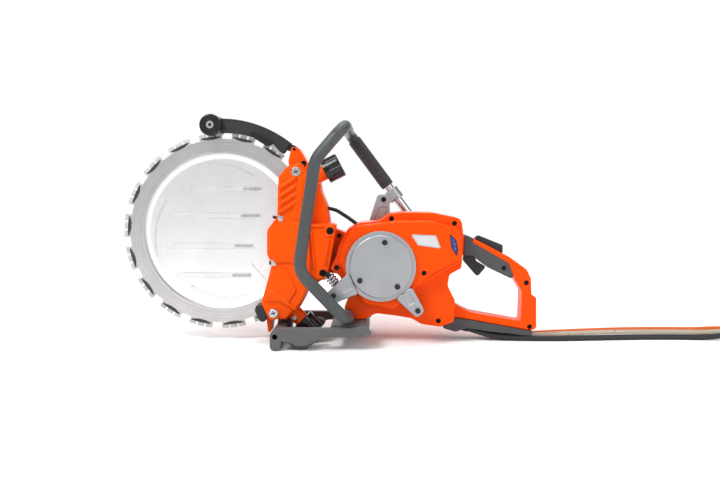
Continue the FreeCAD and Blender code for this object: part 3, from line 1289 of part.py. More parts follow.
def make_hose_couplings():
    couplings = []
    for name in ("water_hose", "return_hose"):
        end, ahead = end_frame(name)
        level = Vector(ahead.x, ahead.y, 0).normalize()
        body = Part.makeCylinder(6.5, 14.0, end, level)
        collar = Part.makeCylinder(7.5, 10.0, end + level * 12.0, level)
        nipple = Part.makeCylinder(5.0, 14.0, end + level * 20.0, level)
        bore = Part.makeCylinder(3.0, 30.0, end + level * 8.0, level)
        couplings.append(joined([body, collar, nipple]).cut(bore))
    return Part.makeCompound(couplings)


# ---- assembly ---------------------------------------------------------------------------------
CORD_NODES = ("power_cable", "water_hose", "return_hose", "power_connector", "hose_couplings")


def build_nodes():
    nodes = {
        "ring_core": make_ring_core(),
        "diamond_segments": make_diamond_segments(),
        "centre_disc": make_centre_disc(),
        "disc_clips": make_disc_clips(),
        "drive_wheel": make_drive_wheel(),
        "drive_shaft": make_drive_shaft(),
        "driven_pulley": make_driven_pulley(),
        "drive_belt": make_drive_belt(),
        "belt_cover": make_belt_cover(),
        "motor_shaft": make_motor_shaft(),
        "motor_rotor": make_motor_rotor(),
        "motor_stator": make_motor_stator(),
        "bearings": group([make_drive_bearings(), make_motor_bearings()]),
        "motor_pulley": make_motor_pulley(),
        "drive_arm": make_drive_arm(),
        "roller_cover": make_roller_cover(),
        "roller_pins": group([make_roller_pivots(), make_guide_spindles()]),
        "springs": group([make_pressure_springs(), make_trigger_spring()]),
        "bolts": group([make_arm_bolts(), make_bracket_screw()]),
        "blade_guard": make_blade_guard(),
        "guard_rollers": make_guard_rollers(),
        "guard_axle": make_guard_axle(),
        "guard_clip": make_guard_clip(),
        "guard_strap": make_guard_strap(),
        "motor_housing_near": make_motor_housing_near(),
        "motor_housing_far": make_motor_housing_far(),
        "housing_screws": make_housing_screws(),
        "side_cover": make_side_cover(),
        "side_cover_screws": make_side_cover_screws(),
        "vibration_mounts": make_vibration_mounts(),
        "rear_grip": make_rear_grip(),
        "bottom_strip": make_bottom_strip(),
        "trigger": make_trigger(),
        "throttle_lockout": make_throttle_lockout(),
        "hinge_pins": group([make_guard_pin(), make_control_pins()]),
        "power_switch": make_power_switch(),
        "status_window": make_status_window(),
        "label_plate": make_label_plate(),
        "handle_tube": make_handle_tube(),
        "handle_sleeve": make_handle_sleeve(),
        "handle_grip": make_handle_grip(),
        "handle_bracket": make_handle_bracket(),
        "handle_clamp": make_handle_clamp(),
        "foot": make_foot(),
        "splash_flap": make_splash_flaps(),
        "water_feed_tube": make_water_feed_tube(),
        "cord_glands": make_cord_glands(),
        "power_connector": make_power_connector(),
        "hose_couplings": make_hose_couplings(),
    }
    for word, side in (("upper", 1), ("lower", -1)):
        nodes[word + "_support_roller"] = make_support_roller(side)
        nodes[word + "_guide_roller"] = make_guide_roller(side)
        nodes[word + "_roller_lever"] = make_roller_lever(side)
        nodes[word + "_knob"] = make_pressure_knob(side)
    for name in CORDS:
        nodes[name] = make_cord(name)
    return nodes


def origin_of(nodes):
    """Bottom centre of the box round everything but the cords and what is on them."""
    whole = FreeCAD.BoundBox()
    for name, shape in nodes.items():
        if name not in CORD_NODES:
            whole.add(shape.optimalBoundingBox(False))
    return Vector(whole.Center.x, whole.Center.y, whole.ZMin)


def main():
    os.makedirs("parts", exist_ok=True)
    nodes = build_nodes()
    origin = origin_of(nodes)
    print("nodes", len(nodes), "origin at", origin)
    for name, shape in nodes.items():
        moved = shape.copy()
        moved.translate(-origin)
        moved.exportStep("parts/" + name + ".step")
        if not moved.isValid() or len(moved.Solids) == 0:
            print("   not valid:", name)
    return nodes, origin


nodes_and_origin = main()
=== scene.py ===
"""Looks of a hand-held electric ring saw for concrete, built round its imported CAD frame."""

import logging
import math
from dataclasses import dataclass
from enum import Enum

import bmesh
import bpy
from mathutils import Matrix, Vector


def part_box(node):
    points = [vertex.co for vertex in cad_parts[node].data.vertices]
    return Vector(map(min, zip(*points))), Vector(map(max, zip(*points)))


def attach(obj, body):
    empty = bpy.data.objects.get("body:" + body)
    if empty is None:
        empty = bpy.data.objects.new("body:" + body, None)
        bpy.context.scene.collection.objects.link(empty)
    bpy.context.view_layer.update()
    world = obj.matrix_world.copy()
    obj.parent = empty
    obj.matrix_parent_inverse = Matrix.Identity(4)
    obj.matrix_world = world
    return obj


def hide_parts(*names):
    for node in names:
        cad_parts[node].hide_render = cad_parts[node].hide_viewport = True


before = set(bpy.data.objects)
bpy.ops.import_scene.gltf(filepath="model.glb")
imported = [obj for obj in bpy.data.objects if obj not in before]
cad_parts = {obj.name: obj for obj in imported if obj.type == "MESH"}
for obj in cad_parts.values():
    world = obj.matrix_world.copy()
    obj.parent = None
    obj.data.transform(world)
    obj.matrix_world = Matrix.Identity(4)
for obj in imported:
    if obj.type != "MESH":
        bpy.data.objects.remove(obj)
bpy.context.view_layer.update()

MM = 0.001
LOG = logging.getLogger("ring_saw")

Pair = tuple[float, float]
Triple = tuple[float, float, float]
Pairs = tuple[Pair, ...]
Triples = tuple[Triple, ...]
Profile = list[Pair] | Pairs
Outline = list[tuple[float, ...]] | Triples


# ---- axes -------------------------------------------------------------------------------------
@dataclass(frozen=True)
class SawAxes:
    """The saw's own axes: X from the drive shaft, Y from the ring's plane, Z from the floor.

    Attributes:
        shaft_x: Frame X of the drive shaft, in metres.
        plane_y: Frame Y of the ring's plane, in metres.
    """

    shaft_x: float
    plane_y: float

    def at(self, x: float, y: float, z: float) -> Vector:
        """Frame point of a point given in the saw's millimetres."""
        return Vector((self.shaft_x + x * MM, self.plane_y + y * MM, z * MM))

    def in_frame(self, x: float, y: float, z: float) -> Vector:
        """Frame point whose x and z are frame millimetres, and y is counted from the ring's plane."""
        return Vector((x * MM, self.plane_y + y * MM, z * MM))


def middle(node: str) -> Vector:
    """Middle of a CAD node's box."""
    low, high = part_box(node)
    return (low + high) / 2


AXES = SawAxes(middle("drive_wheel").x, middle("ring_core").y)
RING_CENTRE = middle("ring_core")
# Direction from the ring's plane to the roller cover's side.
NEAR = Vector((0.0, -1.0, 0.0))


def linked(name: str, data: bpy.types.ID) -> bpy.types.Object:
    """A new object of some data, in the scene."""
    made = bpy.data.objects.new(name, data)
    bpy.context.scene.collection.objects.link(made)
    return made


# ---- nodes ------------------------------------------------------------------------------------
def linear(colour: str) -> tuple[float, float, float, float]:
    """Linear RGBA of an sRGB hex colour.

    Args:
        colour: Six hex digits, with or without a leading #.

    Returns:
        Red, green, blue and an alpha of 1.
    """
    digits = colour.lstrip("#")
    shares = [int(digits[index:index + 2], 16) / 255 for index in (0, 2, 4)]
    red, green, blue = [share / 12.92 if share <= 0.04045 else ((share + 0.055) / 1.055) ** 2.4
                        for share in shares]
    return red, green, blue, 1.0


def add_node(tree: bpy.types.NodeTree, kind: str, settings: dict | None = None,
             links: dict | None = None) -> bpy.types.Node:
    """Adds one node with its settings and links.

    Args:
        tree: The node tree it goes into.
        kind: The node's type name without its "ShaderNode" start.
        settings: Values by socket name or number, or by attribute name after a dot.
        links: Output sockets by the input name or number that they go into.

    Returns:
        The new node.
    """
    node = tree.nodes.new("ShaderNode" + kind)
    for name, value in (settings or {}).items():
        if isinstance(name, str) and name.startswith("."):
            setattr(node, name[1:], value)
    for name, value in (settings or {}).items():
        if not (isinstance(name, str) and name.startswith(".")):
            node.inputs[name].default_value = value
    for name, output in (links or {}).items():
        tree.links.new(output, node.inputs[name])
    return node


class Grain(Enum):
    """How a finish's fine pattern runs over the surface."""

    PEBBLED = "pebbled"
    BRUSHED = "brushed"
    TURNED = "turned"
    DOTTED = "dotted"


# Share of a brushed grain's scale that is left along its lines.
BRUSH_STRETCH = 0.02
# Roughness of every clear coat, as polished lacquer has.
COAT_ROUGHNESS = 0.08
# Rays that look for an edge at each point.
EDGE_SAMPLES = 4


@dataclass(frozen=True)
class Finish:
    """One finish: what it is made of, how its surface was made, and how it wears.

    Attributes:
        name: The finish's common name.
        colour: Its colour as sRGB hex.
        patch: The colour that it drifts to in broad patches, as sRGB hex.
        metallic: 1 for bare metal, 0 for everything else.
        roughness: Mean roughness.
        spread: How much the roughness varies to each side.
        ior: Index of refraction of a non-metal.
        specular: Strength of a non-metal's gloss, 0.5 for the plain value of its index.
        grain: How the fine pattern runs.
        grain_mm: Size of one grain or line, in millimetres.
        relief_mm: Height of the fine pattern, in millimetres.
        patch_mm: Size of the broad patches, in millimetres.
        patch_share: How much of the patch colour shows.
        coat: Share of clear coat.
        edge: Colour of rubbed edges, or an empty text for none; on the orange finishes it is a painted highlight.
        edge_share: How strongly the edge colour shows.
        round_mm: Radius that the light sees at sharp edges, in millimetres.
        anisotropic: Stretch of the highlight across the grain.
        transmission: Share of light that passes through.
        centre: Middle of a turned pattern, which goes round Y.
        along: Direction that brushed lines run in.
    """

    name: str
    colour: str
    patch: str
    metallic: float = 0.0
    roughness: float = 0.5
    spread: float = 0.08
    ior: float = 1.45
    specular: float = 0.5
    grain: Grain = Grain.PEBBLED
    grain_mm: float = 0.8
    relief_mm: float = 0.02
    patch_mm: float = 60.0
    patch_share: float = 0.5
    coat: float = 0.0
    edge: str = ""
    edge_share: float = 0.5
    round_mm: float = 0.7
    anisotropic: float = 0.0
    transmission: float = 0.0
    centre: Triple = (0.0, 0.0, 0.0)
    along: str = "X"

    def fine_pattern(self, tree: bpy.types.NodeTree, place: bpy.types.NodeSocket) -> bpy.types.NodeSocket:
        """Nodes of the fine pattern.

        Args:
            tree: The material's node tree.
            place: Socket with the point on the object, in metres.

        Returns:
            A socket with the pattern's height, from 0 to 1.
        """
        scale = 1.0 / (self.grain_mm * MM)
        if self.grain is Grain.DOTTED:
            dots = add_node(tree, "TexVoronoi", {"Scale": scale, "Randomness": 0.55}, {"Vector": place})
            return add_node(tree, "MapRange", {"From Min": 0.05, "From Max": 0.45, "To Min": 1.0, "To Max": 0.0},
                            {"Value": dots.outputs["Distance"]}).outputs["Result"]
        if self.grain is Grain.TURNED:
            about = add_node(tree, "VectorMath", {".operation": "SUBTRACT", 1: self.centre}, {0: place})
            across = add_node(tree, "VectorMath", {".operation": "MULTIPLY", 1: (1, 0, 1)}, {0: about.outputs[0]})
            radius = add_node(tree, "VectorMath", {".operation": "LENGTH"}, {0: across.outputs[0]})
            lines = add_node(tree, "TexNoise", {".noise_dimensions": "1D", "Scale": scale, "Detail": 3.0,
                                                "Roughness": 0.7}, {"W": radius.outputs["Value"]})
            return lines.outputs["Fac"]
        stretch = (scale, scale, scale)
        if self.grain is Grain.BRUSHED:
            stretch = tuple(scale * (BRUSH_STRETCH if axis == self.along else 1.0) for axis in "XYZ")
        stretched = add_node(tree, "VectorMath", {".operation": "MULTIPLY", 1: stretch}, {0: place})
        noise = add_node(tree, "TexNoise", {"Scale": 1.0, "Detail": 3.0, "Roughness": 0.6},
                         {"Vector": stretched.outputs[0]})
        return noise.outputs["Fac"]

    def rubbed_and_highlit_edges(self, tree: bpy.types.NodeTree, smooth: bpy.types.NodeSocket,
                     fine: bpy.types.NodeSocket) -> bpy.types.NodeSocket:
        """Nodes that find the sharp edges: where handling wears the surface, and where the orange finishes get a
        painted highlight.

        Args:
            tree: The material's node tree.
            smooth: Socket with the rounded normal.
            fine: Socket with the fine pattern, which breaks up the wear and the painted highlight.

        Returns:
            A socket with the edge share (wear, and a painted highlight on the orange finishes), from 0 to edge_share.
        """
        facing = add_node(tree, "VectorMath", {".operation": "DOT_PRODUCT"},
                          {0: smooth, 1: add_node(tree, "NewGeometry").outputs["Normal"]}).outputs["Value"]
        turned = add_node(tree, "MapRange", {"From Min": 0.985, "From Max": 0.8, "To Max": self.edge_share},
                          {"Value": facing}).outputs["Result"]
        return add_node(tree, "Math", {".operation": "MULTIPLY"}, {0: turned, 1: fine}).outputs[0]

    def build(self) -> bpy.types.Material:
        """The finish's material."""
        material = bpy.data.materials.new(self.name)
        material.use_nodes = True
        tree = material.node_tree
        tree.nodes.clear()
        output = add_node(tree, "OutputMaterial")
        place = add_node(tree, "TexCoord").outputs["Object"]
        fine = self.fine_pattern(tree, place)
        broad = add_node(tree, "TexNoise", {"Scale": 1.0 / (self.patch_mm * MM), "Detail": 4.0, "Roughness": 0.62},
                         {"Vector": place}).outputs["Fac"]
        share = add_node(tree, "MapRange", {"From Min": 0.35, "From Max": 0.7, "To Max": self.patch_share},
                         {"Value": broad}).outputs["Result"]
        colour = add_node(tree, "Mix", {".data_type": "RGBA", 6: linear(self.colour), 7: linear(self.patch)},
                          {0: share}).outputs[2]
        smooth = add_node(tree, "Bevel", {".samples": EDGE_SAMPLES, "Radius": self.round_mm * MM}).outputs["Normal"]
        rough = add_node(tree, "MapRange", {"From Min": 0.25, "From Max": 0.75,
                                            "To Min": self.roughness - self.spread,
                                            "To Max": self.roughness + self.spread},
                         {"Value": fine if self.grain is not Grain.PEBBLED else broad}).outputs["Result"]
        # Edge colour: wear on most finishes, a painted highlight on the orange ones.
        if self.edge:
            colour = add_node(tree, "Mix", {".data_type": "RGBA", 7: linear(self.edge)},
                              {0: self.rubbed_and_highlit_edges(tree, smooth, fine), 6: colour}).outputs[2]
        bump = add_node(tree, "Bump", {"Strength": 1.0, "Distance": self.relief_mm * MM},
                        {"Height": fine, "Normal": smooth})
        shader = add_node(
            tree, "BsdfPrincipled",
            {"Metallic": self.metallic, "IOR": self.ior, "Specular IOR Level": self.specular,
             "Coat Weight": self.coat, "Coat Roughness": COAT_ROUGHNESS, "Anisotropic": self.anisotropic,
             "Transmission Weight": self.transmission},
            {"Base Color": colour, "Roughness": rough, "Normal": bump.outputs["Normal"]})
        tree.links.new(shader.outputs["BSDF"], output.inputs["Surface"])
        return material


# ---- finishes ---------------------------------------------------------------------------------
RING = tuple(RING_CENTRE)
MOTOR = tuple(middle("motor_stator"))

# Housing halves: glossy injection-moulded polyamide, which mirrors soft lights with a slight orange peel. Its lighter
# orange edge colour is a painted highlight on edges and creases.
ORANGE_PLASTIC = Finish(
    "Orange moulded polyamide", "#F44D00", "#EA4300", roughness=0.28, spread=0.05, specular=0.12, grain_mm=2.6,
    relief_mm=0.012, edge="#FF8436", edge_share=0.45, round_mm=1.1)
# Castings in front: powder-coated magnesium, a little less glossy and finely pebbled. Its strong pale orange edge
# colour is a painted highlight on edges and ribs.
ORANGE_CASTING = Finish(
    "Orange powder-coated magnesium", "#F25400", "#E64900", roughness=0.32, spread=0.06, specular=0.12, grain_mm=0.9,
    relief_mm=0.022, edge="#FFA25A", edge_share=0.95, round_mm=2.0)
# Guard, trigger and lock-out: glass-filled polyamide, whose fibres leave a dull, finely speckled face.
GUARD_PLASTIC = Finish(
    "Dark glass-filled polyamide", "#28282A", "#222224", roughness=0.44, spread=0.08, ior=1.5, specular=0.4,
    grain_mm=0.7, relief_mm=0.02, edge="#5C5C5E", edge_share=0.6, round_mm=0.9)
# Knobs and rollers: unfilled polyamide from a polished mould, near black with sharp highlights.
KNOB_PLASTIC = Finish(
    "Black glossy polyamide", "#0D0D0E", "#141415", roughness=0.24, spread=0.06, ior=1.52, specular=0.4, grain_mm=1.4,
    relief_mm=0.01, coat=0.15, edge="#3C3C3E", edge_share=0.3, round_mm=1.0)
# Rear grip and strip: soft thermoplastic elastomer moulded over the handle, matt and a little dusty.
GRIP_ELASTOMER = Finish(
    "Grey soft-touch elastomer", "#4A4B4D", "#424345", roughness=0.62, spread=0.08, ior=1.48, specular=0.35,
    grain_mm=0.6, relief_mm=0.03, edge="#6A6C6E", edge_share=0.4, round_mm=1.0)
# Foot: grey glass-filled nylon, matt, with paler scuffed edges.
FOOT_NYLON = Finish(
    "Grey glass-filled nylon", "#5F5F60", "#545455", roughness=0.55, spread=0.08, ior=1.5, specular=0.35,
    grain_mm=0.8, relief_mm=0.025, edge="#8A8A8A", edge_share=0.5, round_mm=1.4)
# Far grip: extruded rubber, dull between its ribs.
RIBBED_RUBBER = Finish(
    "Dark grey ribbed rubber", "#3A3B3C", "#303132", roughness=0.6, spread=0.08, ior=1.5, specular=0.4, grain_mm=0.6,
    relief_mm=0.01, round_mm=0.2)
# Sleeve: satin vinyl drawn over the tube, with long soft highlights.
SLEEVE_RUBBER = Finish(
    "Grey satin vinyl sleeve", "#414547", "#383C3E", roughness=0.36, spread=0.07, ior=1.5, specular=0.5, grain_mm=1.2,
    relief_mm=0.012, coat=0.1)
# Belt, plugs and water tube: moulded black rubber, matt and slightly grainy.
BLACK_RUBBER = Finish(
    "Black moulded rubber", "#161617", "#1E1E1F", roughness=0.6, spread=0.1, ior=1.5, specular=0.4, grain_mm=0.6,
    relief_mm=0.03, edge="#3A3A3B", edge_share=0.4)
# Ring: hardened steel ground on a turntable, so its fine lines run round the centre.
BLADE_STEEL = Finish(
    "Ground tool steel", "#CFCDCE", "#B9B6B6", metallic=1.0, roughness=0.30, spread=0.08, grain=Grain.TURNED,
    grain_mm=0.9, relief_mm=0.012, anisotropic=0.55, centre=RING, round_mm=0.4)
# Centre disc: stainless sheet brushed round its middle, which fans the light.
DISC_STEEL = Finish(
    "Brushed stainless steel", "#F3F3F4", "#E6E6E8", metallic=1.0, roughness=0.30, spread=0.05, grain=Grain.TURNED,
    grain_mm=1.1, relief_mm=0.004, anisotropic=0.75, centre=RING, round_mm=0.4)
# Pressed slots of the disc: the same sheet with a knurl, which breaks the mirror into dots.
KNURLED_STEEL = Finish(
    "Knurled stainless steel", "#F0F0F1", "#DCDCDF", metallic=1.0, roughness=0.38, spread=0.1, grain=Grain.DOTTED,
    grain_mm=2.4, relief_mm=0.12, round_mm=0.4)
# Slot rims, slot ends, pressed lines and dimples of the disc: the same sheet, darker, with small paler patches. On
# the rims, pressed lines and dimples the darkness is painted shade of the pressings.
DARKER_STEEL = Finish(
    "Darker stainless steel", "#A9AAAC", "#D0D0D2", metallic=0.9, roughness=0.45, spread=0.1, grain=Grain.DOTTED,
    grain_mm=1.9, relief_mm=0.15, patch_mm=8.0, patch_share=0.9, round_mm=0.3)
# Segments: sintered bronze and diamond grit; the grit of 0.5 mm is drawn at 1.5 mm so that it shows.
SINTERED = Finish(
    "Sintered diamond matrix", "#C4C2BE", "#A5A3A0", metallic=0.5, roughness=0.6, spread=0.12, grain=Grain.DOTTED,
    grain_mm=1.5, relief_mm=0.25, edge="#E8E6E2", edge_share=0.6, round_mm=0.4)
# Welds between segments and core: steel left dark grey by the heat.
WELD_STEEL = Finish(
    "Heat-darkened steel", "#464648", "#5E5E61", metallic=0.85, roughness=0.42, spread=0.1, grain_mm=1.0,
    relief_mm=0.03, edge="#A8A8AA", edge_share=0.5, round_mm=0.4)
# Lines between the ground bands of the ring: the same steel painted darker, as painted shade of the grooves.
GROOVE_SHADE_STEEL = Finish(
    "Tool steel painted darker as groove shade", "#A3A1A2", "#B4B2B2", metallic=1.0, roughness=0.36, spread=0.08, grain=Grain.TURNED,
    grain_mm=0.6, relief_mm=0.01, centre=RING, round_mm=0.3)
# Shafts, pins and rollers: turned steel with faint tool marks.
TURNED_STEEL = Finish(
    "Turned bright steel", "#C8C9CB", "#B6B7BA", metallic=1.0, roughness=0.24, spread=0.06, grain=Grain.PEBBLED,
    grain_mm=0.7, relief_mm=0.008, round_mm=0.5)
# Screws and levers: blackened steel, bright where it is rubbed.
BLACK_OXIDE = Finish(
    "Black oxide steel", "#1C1C1E", "#28292A", metallic=0.8, roughness=0.42, spread=0.08, grain_mm=0.6,
    relief_mm=0.012, edge="#6E6F71", edge_share=0.5, round_mm=0.5)
# Sockets of the cover's screws: zinc-nickel steel in shadow, painted dark grey as painted shade.
SHADED_SOCKET_STEEL = Finish(
    "Zinc-nickel steel darkened as painted shade", "#3C3D40", "#4A4B4E", metallic=0.85, roughness=0.38, spread=0.08, grain_mm=0.6,
    relief_mm=0.012, edge="#9A9B9D", edge_share=0.6, round_mm=0.4)
# Side cover and bracket: die-cast aluminium with a tumbled satin skin.
CAST_ALUMINIUM = Finish(
    "Die-cast aluminium", "#ABAEB2", "#9DA0A5", metallic=0.9, roughness=0.40, spread=0.08, grain_mm=0.8,
    relief_mm=0.03, edge="#F2F3F5", edge_share=0.8, round_mm=1.1)
# Handle tube: drawn aluminium, with faint lines along its length.
TUBE_ALUMINIUM = Finish(
    "Drawn aluminium tube", "#C9CACE", "#B9BABF", metallic=1.0, roughness=0.26, spread=0.05, grain=Grain.BRUSHED,
    along="Z", grain_mm=0.5, relief_mm=0.006, anisotropic=0.3)
# Motor: lacquered steel laminations round copper windings.
WINDINGS = Finish(
    "Lacquered laminations and copper", "#8F5A34", "#6E4528", metallic=0.8, roughness=0.4, spread=0.1,
    grain=Grain.TURNED, grain_mm=0.8, relief_mm=0.03, centre=MOTOR)
# Window: clear blue polycarbonate, smooth as glass.
BLUE_LENS = Finish(
    "Blue polycarbonate lens", "#0A2F86", "#08205C", roughness=0.14, spread=0.04, ior=1.585, grain_mm=1.0,
    relief_mm=0.004, coat=0.4)
# Spots on the window: the same lens painted a lighter blue, as painted highlights.
BLUE_PAINTED_HIGHLIGHT = Finish(
    "Blue lens with painted highlight", "#2F74F0", "#1C55D0", roughness=0.2, spread=0.04, ior=1.585, grain_mm=1.0, relief_mm=0.004,
    coat=0.4)
# Label: blank silver-white polyester foil.
LABEL_FOIL = Finish(
    "Printed polyester foil", "#CFD0D3", "#BFC0C4", roughness=0.34, spread=0.06, ior=1.5, grain_mm=3.0,
    relief_mm=0.006, coat=0.2)
# Power cable: smooth polyurethane sheath with a low gloss.
CABLE_SHEATH = Finish(
    "Dark polyurethane cable sheath", "#2C2C2E", "#242426", roughness=0.44, spread=0.08, ior=1.5, specular=0.4,
    grain_mm=0.8, relief_mm=0.02)
# Water hose: milky clear PVC that lets some light through.
CLEAR_HOSE = Finish(
    "Translucent PVC hose", "#C9BFAC", "#B8AC97", roughness=0.3, spread=0.06, ior=1.53, grain_mm=1.6, relief_mm=0.01,
    transmission=0.3)
# Return hose: orange PVC, slightly translucent.
ORANGE_HOSE = Finish(
    "Orange PVC hose", "#E2661F", "#D25A18", roughness=0.36, spread=0.06, ior=1.53, specular=0.35, grain_mm=1.4,
    relief_mm=0.01, transmission=0.1)
# Couplings: turned brass, warm and bright.
BRASS = Finish(
    "Turned brass", "#C9A45A", "#B08C46", metallic=1.0, roughness=0.28, spread=0.06, grain_mm=0.8, relief_mm=0.01,
    round_mm=0.5)

MATERIALS: dict[Finish, bpy.types.Material] = {}


def material_of(finish: Finish) -> bpy.types.Material:
    """The one material of a finish, made when it is first asked for.

    Args:
        finish: The finish.

    Returns:
        Its material.
    """
    if finish not in MATERIALS:
        MATERIALS[finish] = finish.build()
    return MATERIALS[finish]


def dress_nodes(finish: Finish, *nodes: str) -> None:
    """Gives carried-over CAD nodes one finish.

    Args:
        finish: The finish.
        nodes: Names of the nodes.
    """
    for node in nodes:
        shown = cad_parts[node]
        shown.data.materials.clear()
        shown.data.materials.append(material_of(finish))
        LOG.info("%s keeps its CAD shape, in %s", node, finish.name)


# ---- meshes -----------------------------------------------------------------------------------
# Radius below which a profile's corners keep clear of the hollows round its rim, in millimetres.
HOLLOW_LIMIT = 4.6
# Angles at which a rounded rim has its corners, in degrees.
RIM_DEGREES = (0, 30, 60, 90)


def rounded(corners: Outline, step_degrees: float = 15.0) -> Profile:
    """Points of a closed outline whose corners are rounded.

    Args:
        corners: Corners as (x, z) or (x, z, radius), in millimetres.
        step_degrees: Angle of one step of a rounded corner.

    Returns:
        Points in order, in millimetres.
    """
    points = []
    for index, corner in enumerate(corners):
        here = Vector(corner[:2])
        radius = corner[2] if len(corner) > 2 else 0.0
        if radius <= 0.0:
            points.append(tuple(here))
            continue
        back = (Vector(corners[index - 1][:2]) - here).normalized()
        ahead = (Vector(corners[(index + 1) % len(corners)][:2]) - here).normalized()
        half = back.angle(ahead) / 2
        centre = here + (back + ahead).normalized() * (radius / math.sin(half))
        first = here + back * (radius / math.tan(half)) - centre
        last = here + ahead * (radius / math.tan(half)) - centre
        turn = first.angle_signed(last)
        steps = max(1, round(math.degrees(abs(turn)) / step_degrees))
        start = math.atan2(first.y, first.x)
        for step in range(steps + 1):
            angle = start - turn * step / steps
            points.append((centre.x + radius * math.cos(angle), centre.y + radius * math.sin(angle)))
    return points


def ring_points(radius: float, degrees: float) -> Pair:
    """X and Z, in frame millimetres, of a point at a radius and angle about the ring's centre."""
    angle = math.radians(degrees)
    return (RING_CENTRE.x / MM + radius * math.cos(angle), RING_CENTRE.z / MM + radius * math.sin(angle))


class MeshMaker:
    """Collects the faces of one piece, in metres, and turns them into an object."""

    def __init__(self, name: str) -> None:
        """Starts an empty mesh.

        Args:
            name: Name of the piece.
        """
        self.name = name
        self.mesh = bmesh.new()

    def loft(self, rings: list[list[Vector]], closed: bool = False, capped: bool = True) -> None:
        """Faces between rings of points that follow each other.

        Args:
            rings: Rings with the same number of points each.
            closed: True if the last ring joins the first one.
            capped: True if the first and the last ring get a face.
        """
        made = [[self.mesh.verts.new(point) for point in ring] for ring in rings]
        count = len(made[0])
        spans = len(made) if closed else len(made) - 1
        for index in range(spans):
            near = made[index]
            far = made[(index + 1) % len(made)]
            for corner in range(count):
                after = (corner + 1) % count
                self.mesh.faces.new((near[corner], near[after], far[after], far[corner]))
        if capped and not closed:
            self.mesh.faces.new(list(reversed(made[0])))
            self.mesh.faces.new(made[-1])

    def prism(self, outline: Profile, low: float, high: float, rim: float = 0.0,
              frame_points: bool = False) -> None:
        """Plate of an outline, with a rounded rim on its outer face.

        Args:
            outline: Points (x, z) in millimetres, in order.
            low: Y of the outer face, which faces the cover's side, in millimetres.
            high: Y of the other face, in millimetres.
            rim: Radius of the rounded rim, in millimetres.
            frame_points: True if the outline is in frame millimetres, not in the saw's own.
        """
        levels = [(high, 0.0), (low, 0.0)]
        if rim > 0.0:
            sign = 1.0 if high > low else -1.0
            levels = [(high, 0.0)] + [(low + sign * rim * (1 - math.sin(angle)), rim * (1 - math.cos(angle)))
                                      for angle in map(math.radians, RIM_DEGREES)]
        place = AXES.in_frame if frame_points else AXES.at
        self.loft([[place(x, y, z) for x, z in inset_outline(outline, inset)] for y, inset in levels])

    def stack(self, face: float, levels: tuple[tuple[Profile, float], ...], closed: bool = False) -> None:
        """Faces through outlines (x, z), each at its own distance from the Y of a face."""
        self.loft([[AXES.at(x, face + rise, z) for x, z in line] for line, rise in levels], closed)

    def button(self, place: Triple, profile: Profile, steps: int = 32) -> None:
        """Profile turned about an axis that points to the cover's side, at a place on the saw's own axes."""
        self.revolve(AXES.at(*place), NEAR, profile, steps)

    def revolve(self, centre: Vector, axis: Vector, profile: Profile, steps: int = 48, start: float = 0.0,
                sweep: float = 360.0, lobes: int = 0, depth: float = 0.0) -> None:
        """Profile turned about an axis.

        Args:
            centre: Point on the axis, in metres.
            axis: The axis's direction.
            profile: Corners (radius, distance along the axis), in millimetres.
            steps: Number of steps round the axis.
            start: First angle, in degrees.
            sweep: Angle that is turned, in degrees.
            lobes: Number of hollows round the rim, or 0 for none.
            depth: Depth of the hollows, in millimetres.
        """
        direction = axis.normalized()
        along_y = abs(direction.y) > 0.99
        side = Vector((1, 0, 0)) if along_y else direction.orthogonal().normalized()
        up = direction.cross(side)
        full = sweep >= 360.0
        rings = []
        for step in range(steps + (0 if full else 1)):
            angle = math.radians(start + sweep * step / steps)
            hollow = depth * max(0.0, math.cos(lobes * angle)) if lobes else 0.0
            out = side * math.cos(angle) + up * math.sin(angle)
            ring = []
            for radius, along in profile:
                reach = radius - hollow if radius > HOLLOW_LIMIT else radius
                ring.append(centre + out * (reach * MM) + direction * (along * MM))
            rings.append(ring)
        self.loft(rings, closed=full)

    def rod(self, start: Vector, end: Vector, radius: float, steps: int, rim: float) -> None:
        """Round bar between two points, with rounded ends.

        Args:
            start: Middle of its first end, in metres.
            end: Middle of its other end.
            radius: Its radius in millimetres.
            steps: Number of steps round it.
            rim: Width of the slope at its ends, in millimetres.
        """
        length = (end - start).length / MM
        profile = [(0.0, 0.0), (radius - rim, 0.0), (radius, rim), (radius, length - rim), (radius - rim, length),
                   (0.0, length)]
        self.revolve(start, end - start, profile, steps)

    def sweep(self, points: list[Vector], radius: float, sides: int = 12, ridges: int = 0,
              depth: float = 0.0) -> None:
        """Round bar along points.

        Args:
            points: The bar's middle line, in metres.
            radius: Its radius in millimetres.
            sides: Number of sides.
            ridges: Number of lengthwise ridges, or 0 for none.
            depth: Depth of the grooves between them, in millimetres.
        """
        rings = []
        before = (points[1] - points[0]).normalized()
        side = before.orthogonal().normalized()
        for index, point in enumerate(points):
            behind = points[max(index - 1, 0)]
            ahead = points[min(index + 1, len(points) - 1)]
            direction = (ahead - behind).normalized()
            side = (side - direction * side.dot(direction)).normalized()
            up = direction.cross(side)
            ring = []
            for corner in range(sides):
                turn = 2 * math.pi * corner / sides
                reach = radius - (depth * (0.5 - 0.5 * math.cos(ridges * turn)) ** 3 if ridges else 0.0)
                ring.append(point + (side * math.cos(turn) + up * math.sin(turn)) * (reach * MM))
            rings.append(ring)
        self.loft(rings)

